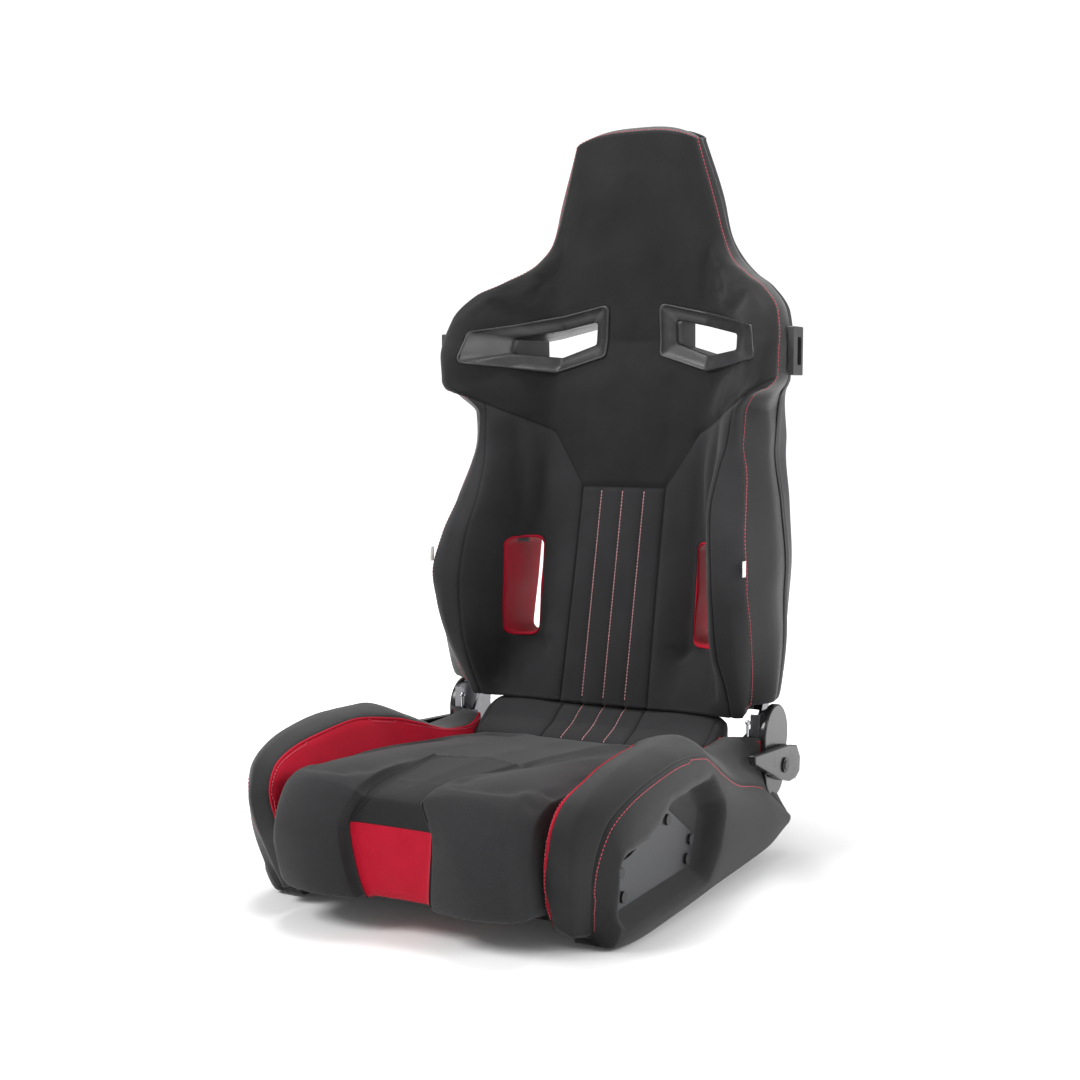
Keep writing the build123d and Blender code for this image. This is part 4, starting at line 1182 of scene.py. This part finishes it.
def quilted(name, profiles, counts, steps, pins, sewn, extra=(), cap=0.008, materials=()):
    """A closed pad from side profiles: swollen cloth, sewn grooves and rounded ends.

    Seams in sewn are (knot, width, depth, first and last place round the profile). Those in extra
    are (function of the grid that gives the distance from the seam, width, depth).
    """
    places, loop = clustered(counts), clustered(steps)
    rough_places = columns([max(2, n // 3) for n in counts])
    rough_loop = columns([max(3, n // 2) for n in steps])

    def shape(cols, rows):
        sides = across(profiles, rows)
        return mirrored(across(sides.transpose(1, 0, 2), cols))

    coarse = shape(rough_places, rough_loop)
    whole, fine = whole_width(rough_places), whole_width(places)
    held = at_knots(whole, *pins) | (rough_loop > len(steps) - 2.6)[:, None]
    held |= (rough_loop < 1)[:, None]
    held[:, [0, -1]] = True
    shift = swell(coarse, np.broadcast_to(held, coarse.shape[:2]), cap)
    grid = shape(places, loop) + refine(shift, rough_loop, whole, loop, fine)
    seams = [(place, width, deep, ((loop >= first) & (loop <= last))[:, None])
             for place, width, deep, first, last in sewn]
    depth = seam_depth(grid, fine, both_sides(seams))
    for measure, width, deep in extra:
        depth = np.maximum(depth, groove(measure(grid), width, deep))
    grid = grid - grid_normals(grid) * depth[..., None]
    grid[-1] = grid[0]
    cover = Cover()
    cover.add(grid, 0, seam_map(fine, loop))
    bulge = np.array([0.004, 0, 0])
    for column, side in ((0, -1), (-1, 1)):
        cover.close(grid[:, column], (1, 0.9, 0.7, 0.45, 0.2, 0.001), bulge * side)
    return cover.build(name, materials), grid, fine, loop


def cushion_fabric():
    """Grey woven lobes, a dark middle panel and the red panel down the front, with painted shade along the
    seams.
    """
    shader, grey, rough, bump, _ = grey_cloth("cushion_cloth")
    x, y, _ = shader.place()
    place, turn = shader.map("seams")
    side = abs(place)
    arc = abs(x) / panel_half
    behind = y - (arc * arc * arc_forward + arc_y)
    panel = (1 - side.span(0.985, 1.015)) * (1 - behind.span(-0.0005, 0.0005))
    thread = shader.noise(900.0, 2.0)
    dark = shader.mix(thread, (0.007, 0.007, 0.0075), (0.018, 0.018, 0.019))
    red = shader.mix(thread * 0.6 + shader.noise(25.0) * 0.4, red_low, red_high)
    colour = shader.mix(panel, grey, dark)
    front = panel * turn.span(5.88, 5.92) * (1 - turn.span(7.7, 7.75))
    colour = shader.mix(front, colour, red)
    # Painted shade: near-black lines along the panel's side seams, its rear arc, the lobes' gussets and the
    # top of the red front panel.
    wedge = ((turn - 3.0) * (6.0 - turn)).most(0.0)
    ahead = 1 - behind.span(0.0, 0.001)
    lines = seam_shade(side - 1.0, 0.05) * ahead
    lines = lines.most(seam_shade(behind, 0.0018) * (1 - side.span(0.98, 1.0)))
    inner = seam_shade(side - (1.0 - wedge * 0.11), 0.03) * (wedge > 0.02) * ahead
    lines = lines.most(inner * 0.9).most(seam_shade(turn - 5.9, 0.03) * panel)
    colour = shader.mix(lines * 0.8, colour, seam_groove_shade)
    return shader.set(base_color=colour, roughness=rough, normal=bump)


def insert_fabric():
    """Grey woven cloth with painted shade along its panel seams."""
    shader, grey, rough, bump, _ = grey_cloth("insert_cloth")
    place, _ = shader.map("seams")
    side = abs(place)
    # Painted shade: near-black lines along the panel seams.
    lines = seam_shade(side - 2.0, 0.05).most(seam_shade(side - 5.0, 0.07))
    colour = shader.mix(lines * 0.8, grey, seam_groove_shade)
    return shader.set(base_color=colour, roughness=rough, normal=bump)


def make_cushion(fabric):
    """The seat cushion, with the gussets of its front lobes and the rear seam of its panel."""
    oval = [(0.168, 0.130), (0.157, 0.108), (0.152, 0.080), (0.153, 0.055), (0.161, 0.034)]
    nowhere_near = 1.0

    def gusset(grid):
        flat = np.abs(grid[..., [0, 2]].reshape(-1, 2))
        near = distance_to_path(flat, oval).reshape(grid.shape[:2])
        return np.where(grid[..., 1] < -0.27, near, nowhere_near)

    def rear_arc(grid):
        side = np.abs(grid[..., 0])
        near = np.abs(grid[..., 1] - (arc_y + arc_forward * (side / panel_half) ** 2))
        return np.where((side < panel_half) & (grid[..., 2] > 0.1), near, nowhere_near)

    return quilted("seat_cushion", cushion_profiles, [14, 5, 9, 9, 7],
                   [10, 20, 22, 20, 16, 12, 18, 14, 12, 12], pins=(0, 1), sewn=[(1, 0.006, 0.0034, 3, 8)],
                   extra=[(gusset, 0.004, 0.0016), (rear_arc, 0.005, 0.002)], cap=0.009,
                   materials=[fabric])


def make_insert(fabric):
    """The quilted insert between the cushion and the backrest."""
    sewn = [(0, 0.006, 0.0022, 0, 3), (1, 0.006, 0.0022, 0, 3), (2, 0.006, 0.003, 0, 2.8),
            (5, 0.005, 0.002, 0, 2.8)]
    return quilted("rear_insert", insert_profiles, [9, 8, 9, 8, 6, 5], [8, 14, 16, 7, 7, 8, 6, 6],
                   pins=(0, 1, 2, 5), sewn=sewn, cap=0.006, materials=[fabric])


# Lines of the cushion bolster from its rear end forward over the nose and down its front, in
# millimetres: (x, y, z). Every line has one point in each of the same cross-sections.
bolster_lines = {
    "foot": [(232, 252, 34), (183, 178, 19), (183, 129, 17), (183, 83, 15), (183, 0, 12), (183, -60, 9),
             (183, -120, 6), (183, -190, 4), (183, -232, 4), (184, -236, 5), (185, -238, 7), (186, -240, 10),
             (187, -242, 13)],
    "inner": [(231, 252, 42), (180, 178, 56), (170, 129, 56), (166, 83, 55), (166, 0, 55), (166, -60, 55),
              (166, -120, 55), (166, -190, 55), (167, -235, 56), (170, -258, 60), (172, -268, 62),
              (172, -270, 45), (173, -256, 24)],
    "piping": [(233, 252, 50), (183, 178, 158), (172, 129, 149), (170, 83, 153), (169, 0, 174),
               (170, -55, 189), (188.5, -118, 197.5), (190, -190, 192), (192.5, -234, 184.5),
               (189, -281, 167), (184, -296, 138), (174, -289, 84), (170, -263, 27)],
    "crown": [(240, 254, 54), (206, 178, 162), (208, 129, 158), (208, 83, 156), (214, 0, 186),
              (219, -58, 206), (222, -120, 206), (221, -190, 200), (219, -238, 190), (214, -284, 168),
              (209, -299, 130), (200, -285, 72), (192, -262, 19)],
    "seam": [(248, 252, 51), (240, 176, 100), (243, 129, 114), (245, 83, 124), (250, 0, 162), (255, -52, 185),
             (256, -118, 192), (252.5, -192, 183.5), (248.5, -230, 173), (238, -268, 147), (229, -276, 112),
             (215, -256, 51), (205.5, -237, 17)],
    "flank": [(252, 250, 45), (256, 176, 66), (256, 129, 76), (256, 83, 82), (256, 0, 88), (256, -60, 95),
              (256, -120, 100), (256, -190, 100), (254, -232, 100), (250, -250, 92), (240, -254, 70),
              (222, -244, 34), (206, -234, 15)],
    "hem": [(246, 250, 34), (249, 176, 22), (248, 129, 19), (247, 83, 17), (247, 0, 15), (245, -60, 11),
            (243, -120, 8), (238, -190, 4), (228, -228, 3), (222, -234, 4), (216, -235, 5), (210, -234, 8),
            (202, -234, 11)],
}
inner_band, ridge_band, outer_band, flank_band = 1, 2, 4, 5     # places of lines round the section

# Outline of the side plate's recess in millimetres: (y, z)
recess_corners = [(-228, 46), (-36, 49), (-16, 74), (-4, 108), (-28, 136), (-101, 133), (-134, 129),
                  (-166, 110), (-200, 101), (-236, 98)]

bracket_wall = 0.2328       # the bolster keeps outside the recliner's brackets behind their front edge


def sections_between(lines, v_places, u_places):
    """A closed tube of points from named lines: rows along the lines, columns round them."""
    along = across(lines, v_places).transpose(1, 0, 2)
    ring = np.concatenate([along, along[:, :1]], axis=1)
    return across(ring, u_places)


def make_bolster(black, red):
    """Cushion bolster with the recess for the side plate."""
    lines = knots(list(bolster_lines.values()))
    v_steps = [14, 10, 9, 16, 12, 13, 15, 10, 12, 8, 13, 12]
    v_places, u_places = columns(v_steps), clustered([6, 12, 9, 11, 18, 18, 8])
    rough_v, rough_u = columns([max(2, n // 2) for n in v_steps]), columns([3, 5, 4, 4, 6, 6, 3])
    coarse = sections_between(lines, rough_v, rough_u)
    held = at_knots(rough_u, 0, 1, 2, 4, 6, 7) | (plate_reach(coarse) > -0.03)
    held[[0, -1]] = True
    shift = swell(coarse[:, ::-1], held[:, ::-1], cap=0.005)[:, ::-1]
    grid = sections_between(lines, v_places, u_places) + refine(shift, rough_v, rough_u, v_places, u_places)
    behind = smooth_step(grid[..., 1], 0.174, 0.184) * smooth_step(grid[..., 2], 0.034, 0.044)
    grid[..., 0] += np.maximum(bracket_wall - grid[..., 0], 0) * behind
    seams = [(band, 0.005, 0.0018, 1.0) for band in (ridge_band, outer_band)]
    grid = grid + grid_normals(grid) * seam_depth(grid, u_places, seams)[..., None]
    sink = smooth_step(plate_reach(grid), -0.021, -0.001)
    floor = plate_box[0][0] - 0.0008
    grid[..., 0] = np.where(sink > 0, grid[..., 0] + (np.minimum(floor, grid[..., 0]) - grid[..., 0]) * sink,
                            grid[..., 0])
    grid[:, -1] = grid[:, 0]
    places = seam_map(u_places, v_places)
    low, edge = column_at(u_places, inner_band), column_at(u_places, ridge_band)
    cover = Cover()
    for kind, part in ((0, slice(0, low + 1)), (1, slice(low, edge + 1)), (0, slice(edge, None))):
        cover.add(grid[:, part], kind, places[:, part])
    for row in (0, -1):
        cover.close(grid[row], (1, 0.8, 0.5, 0.2, 0.001))
    return cover.build("seat_bolster_left", [black, red]), grid, v_places, u_places


def plate_reach(grid):
    """Distance inside the plate's recess of the bolster's outer points; far outside elsewhere."""
    flat = grid[..., 1:3].reshape(-1, 2)
    reach = signed_inside(flat, [(a * mm, b * mm) for a, b in recess_corners]).reshape(grid.shape[:2])
    return np.where(grid[..., 0] > 0.225, reach, -1.0)


def bolster_fabric():
    """Smooth black cloth of the cushion's bolsters."""
    return plain_fabric("bolster_cloth", (0.0055, 0.0055, 0.006), (0.017, 0.017, 0.018), 0.0010, 0.4, 0.6,
                        weave=knit_height, sheen=0.2)


def red_fabric():
    """Red cloth of the front panel, the bolsters' inner sides and the slots."""
    return plain_fabric("red_cloth", red_low, red_high, 0.0010, 0.4, 0.6, weave=knit_height, sheen=0.05)


def seam_stitches(rings, rim_count, offset, lift):
    """Stitch path just outside the edge seam, up one side, over the head and down the other."""
    start, step = rings[0, :rim_count], rings[1, :rim_count] - rings[0, :rim_count]
    step /= np.linalg.norm(step, axis=1)[:, None]
    along = np.gradient(start, axis=0)
    out = np.cross(along, step)
    out /= np.maximum(np.linalg.norm(out, axis=1)[:, None], 1e-9)
    middle = np.array([0, rings[..., 1].max(), 0.5])
    out *= np.sign(((start - middle) * out).sum(axis=1))[:, None]
    return start + step * offset + out * lift


def between(places, low, high):
    """Numbers of the rows that lie between two places."""
    return np.flatnonzero((places > low) & (places < high))


def stitch_channels(name, body, grid, places, rows, thread):
    """Thread down the three channels of a quilted panel."""
    paths = [grid_path(grid, column_at(places, place), rows, 0.0004) for place in (-1, 0, 1)]
    finish(sew(name, paths, thread, 0.0046, 0.0036, 0.0014), body, "red_fabric")


def stitch_backrest(front, places, heights, rings, edge_thread, channel_thread):
    """Thread along the edge seam and down the three channels of the torso."""
    rows, cols = front.shape[:2]
    rim = seam_stitches(rings, 2 * rows + cols - 2, 0.0034, 0.0003)
    finish(sew("edge_stitches", [rim], edge_thread, 0.0052, 0.0042, 0.0012), "backrest", "red_fabric")
    stitch_channels("channel_stitches", "backrest", front, places, between(heights, 0.190, 0.473),
                    channel_thread)


def stitch_bolsters(grid, v_places, u_places, red, thread):
    """Piping along the inner ridge, pricked stitches under it and the outer stitch line."""
    ridge, outer, flank = (column_at(u_places, band) for band in (ridge_band, outer_band, flank_band))
    rows = between(v_places, 1.0, 11.8)
    normals = grid_normals(grid)
    normals *= np.sign(normals[:, flank, 0].mean())
    lengths, _ = grid_lengths(grid)

    def path(column, shift, lift):
        """A line at a distance from a column, measured along the cloth."""
        at = [np.searchsorted(lengths[row], lengths[row, column] + shift) for row in rows]
        at = np.clip(at, 0, grid.shape[1] - 1)
        return grid[rows, at] + normals[rows, at] * lift

    piping = tube("bolster_piping_left", path(ridge, 0.0, 0.0006), 0.0017, red)
    lines = [path(outer, 0.0040, 0.0007), path(ridge, -0.005, 0.0005)]
    stitches = sew("bolster_stitches_left", lines, thread, 0.0048, 0.0038, 0.0012)
    for piece in (piping, stitches):
        finish_pair(piece, "cushion", "red_fabric")


def dress_hardware(finishes):
    """Round off the edges of moulded and pressed parts and of the tags."""
    widths = {"recliner_cover": (0.0016, "gloss_black"), "release_lever": (0.0016, "lever_plastic"),
              "side_belt_guide": (0.003, "trim_plastic"), "harness_guide": (0.002, "trim_plastic"),
              "side_plate": (0.0007, "plate_satin"), "recliner_back_bracket": (0.0005, "bracket_zinc"),
              "recliner_base_bracket": (0.0005, "bracket_zinc"), "seam_tags": (0.0003, "tag_white")}
    bodies = {node: body for body, nodes in frame["record"]["behaviour"]["bodies"].items()
              for node in nodes}
    for node in list(frame["nodes"]):
        for stem, (width, slot) in widths.items():
            if node in (stem, stem + "_left", stem + "_right"):
                piece = soften(node, width, finishes[slot])
                finish(piece, bodies[node], slot, node)


# ---------------------------------------------------------------- studio


def make_studio():
    """Pale floor that glows away from the seat, soft lights, a backdrop and the camera."""
    floor_shader = Shader("studio_floor", roughness=0.9)
    x, y, _ = floor_shader.place()
    far = ((x * x + y * y) ** 0.5).span(0.5, 1.5)
    glow = floor_shader.mix(far, (0.02, 0.02, 0.02), (0.72, 0.72, 0.72))
    floor_shader.surface.inputs["Base Color"].default_value = (0.93, 0.93, 0.93, 1)
    floor_shader.surface.inputs["Emission Strength"].default_value = 1.0
    floor_shader.set(emission_color=glow)
    reach, floor_z = 14.0, -0.0004
    signs = ((-1, -1), (1, -1), (1, 1), (-1, 1))
    corners = [(reach * x, reach * y, floor_z) for x, y in signs]
    floor = make_object("studio_floor", corners, [(0, 1, 2, 3)], [floor_shader.material])
    world = bpy.data.worlds.new("studio")
    world.use_nodes = True
    tree = world.node_tree
    sky, seen = tree.nodes["Background"], tree.nodes.new("ShaderNodeBackground")
    for shade, strength in ((sky, 0.5), (seen, 1.1)):
        shade.inputs["Color"].default_value = (1, 1, 1, 1)
        shade.inputs["Strength"].default_value = strength
    rays, blend = tree.nodes.new("ShaderNodeLightPath"), tree.nodes.new("ShaderNodeMixShader")
    tree.links.new(rays.outputs["Is Camera Ray"], blend.inputs[0])
    tree.links.new(sky.outputs[0], blend.inputs[1])
    tree.links.new(seen.outputs[0], blend.inputs[2])
    tree.links.new(blend.outputs[0], tree.nodes["World Output"].inputs["Surface"])
    bpy.context.scene.world = world
    target = Vector((0, 0.05, 0.45))
    lamps = (("key", (-1.5, -2.2, 2.5), 1.3, 80), ("side", (2.6, 0.1, 1.3), 1.2, 50),
             ("top", (-0.3, 0.3, 3.0), 1.2, 60))
    for name, place, size, power in lamps:
        light = bpy.data.lights.new(name, "AREA")
        light.energy, light.size = power, size
        lamp = new_object(name, light)
        lamp.location = place
        lamp.rotation_euler = (target - Vector(place)).to_track_quat("-Z", "Y").to_euler()
    lens = bpy.data.cameras.new("camera")
    lens.lens, lens.sensor_width = 55, 36
    camera = new_object("camera", lens)
    camera.location = (1.0, -1.795, 0.59)
    camera.rotation_euler = (math.radians(85.32), 0, math.radians(28.88))
    bpy.context.scene.camera = camera
    bpy.context.scene.view_settings.view_transform = "Standard"


# ---------------------------------------------------------------- the seat


def paint_frame():
    """Give every carried-over node its finish."""
    finishes = {
        "frame_paint": painted_metal("frame_paint", (0.012, 0.012, 0.013), (0.03, 0.03, 0.032), 0.42),
        "spring_wire": painted_metal("spring_wire", (0.16, 0.15, 0.14), (0.3, 0.29, 0.27), 0.35, 1.0),
        "bracket_zinc": painted_metal("bracket_zinc", (0.16, 0.16, 0.17), (0.30, 0.30, 0.31), 0.3, 1.0),
        "bright_steel": painted_metal("bright_steel", (0.34, 0.34, 0.35), (0.52, 0.52, 0.53), 0.22, 1.0),
        "dark_steel": painted_metal("dark_steel", (0.02, 0.02, 0.022), (0.05, 0.05, 0.052), 0.4, 0.6),
        "plate_satin": painted_metal("plate_satin", (0.035, 0.036, 0.04), (0.062, 0.064, 0.07), 0.36, 0.6),
        "gloss_black": grained_plastic("gloss_black", (0.008, 0.008, 0.009), (0.02, 0.02, 0.021), 0.14,
                                       400.0, 0.03),
        "lever_plastic": grained_plastic("lever_plastic", (0.009, 0.009, 0.0095), (0.024, 0.024, 0.025), 0.2,
                                         500.0, 0.05),
        "trim_plastic": grained_plastic("trim_plastic", (0.022, 0.022, 0.023), (0.045, 0.045, 0.047), 0.36),
        "shell_plastic": grained_plastic("shell_plastic", (0.012, 0.012, 0.013), (0.03, 0.03, 0.032), 0.5,
                                         650.0, 0.5),
        "tag_white": plain_fabric("tag_white", (0.62, 0.62, 0.6), (0.85, 0.85, 0.83), 0.0008, 0.3, 0.7),
    }
    finishes["grey_fabric"], finishes["black_fabric"] = insert_fabric(), bolster_fabric()
    finishes["red_fabric"] = red_fabric()
    slots = {part["node"]: part["material_slot"] for part in frame["record"]["subparts"]}
    slots["lever_clips"] = slots["release_shaft"] = "dark_steel"
    for name, piece in frame["nodes"].items():
        finish_here = finishes.get(slots.get(name))
        if finish_here:
            piece.data.materials.clear()
            piece.data.materials.append(finish_here)
    return finishes


finishes = paint_frame()
stitching = stitch_tree()
red_thread = thread_finish("red_thread", (0.30, 0.004, 0.02), (0.55, 0.02, 0.06))
pink_thread = thread_finish("pink_thread", (0.55, 0.16, 0.18), (0.85, 0.45, 0.46))
cloth, satin = backrest_fabric(), side_fabric()
red, black, grey = (finishes[slot] for slot in ("red_fabric", "black_fabric", "grey_fabric"))

back_cushion, front_grid, front_places, front_heights, band_rings = make_back_cushion(cloth, satin)
finish(back_cushion, "backrest", "grey_fabric", "shoulder_pad", "torso_pad", "torso_bolster_left",
       "torso_bolster_right", fill=0.7)
finish(make_rear_shell(finishes["shell_plastic"]), "backrest", "shell_plastic", "rear_shell")
finish_pair(make_bezel(finishes["trim_plastic"]), "backrest", "trim_plastic", "harness_bezel")
finish_pair(make_liner(red), "backrest", "red_fabric", "lumbar_liner")

seat_cushion, *_ = make_cushion(cushion_fabric())
finish(seat_cushion, "cushion", "grey_fabric", "cushion_pad", fill=0.7)
rear_insert, insert_grid, insert_places, insert_loop = make_insert(grey)
finish(rear_insert, "cushion", "grey_fabric", "rear_insert_pad", fill=0.6)
seat_bolster, bolster_grid, bolster_v, bolster_u = make_bolster(black, red)
finish_pair(seat_bolster, "cushion", "black_fabric", "cushion_bolster", fill=0.7)
stitch_backrest(front_grid, front_places, front_heights, band_rings, red_thread, pink_thread)
stitch_channels("insert_stitches", "cushion", insert_grid, insert_places,
                between(insert_loop, 1.1, 3.3), pink_thread)
stitch_bolsters(bolster_grid, bolster_v, bolster_u, red, red_thread)
dress_hardware(finishes)
make_studio()
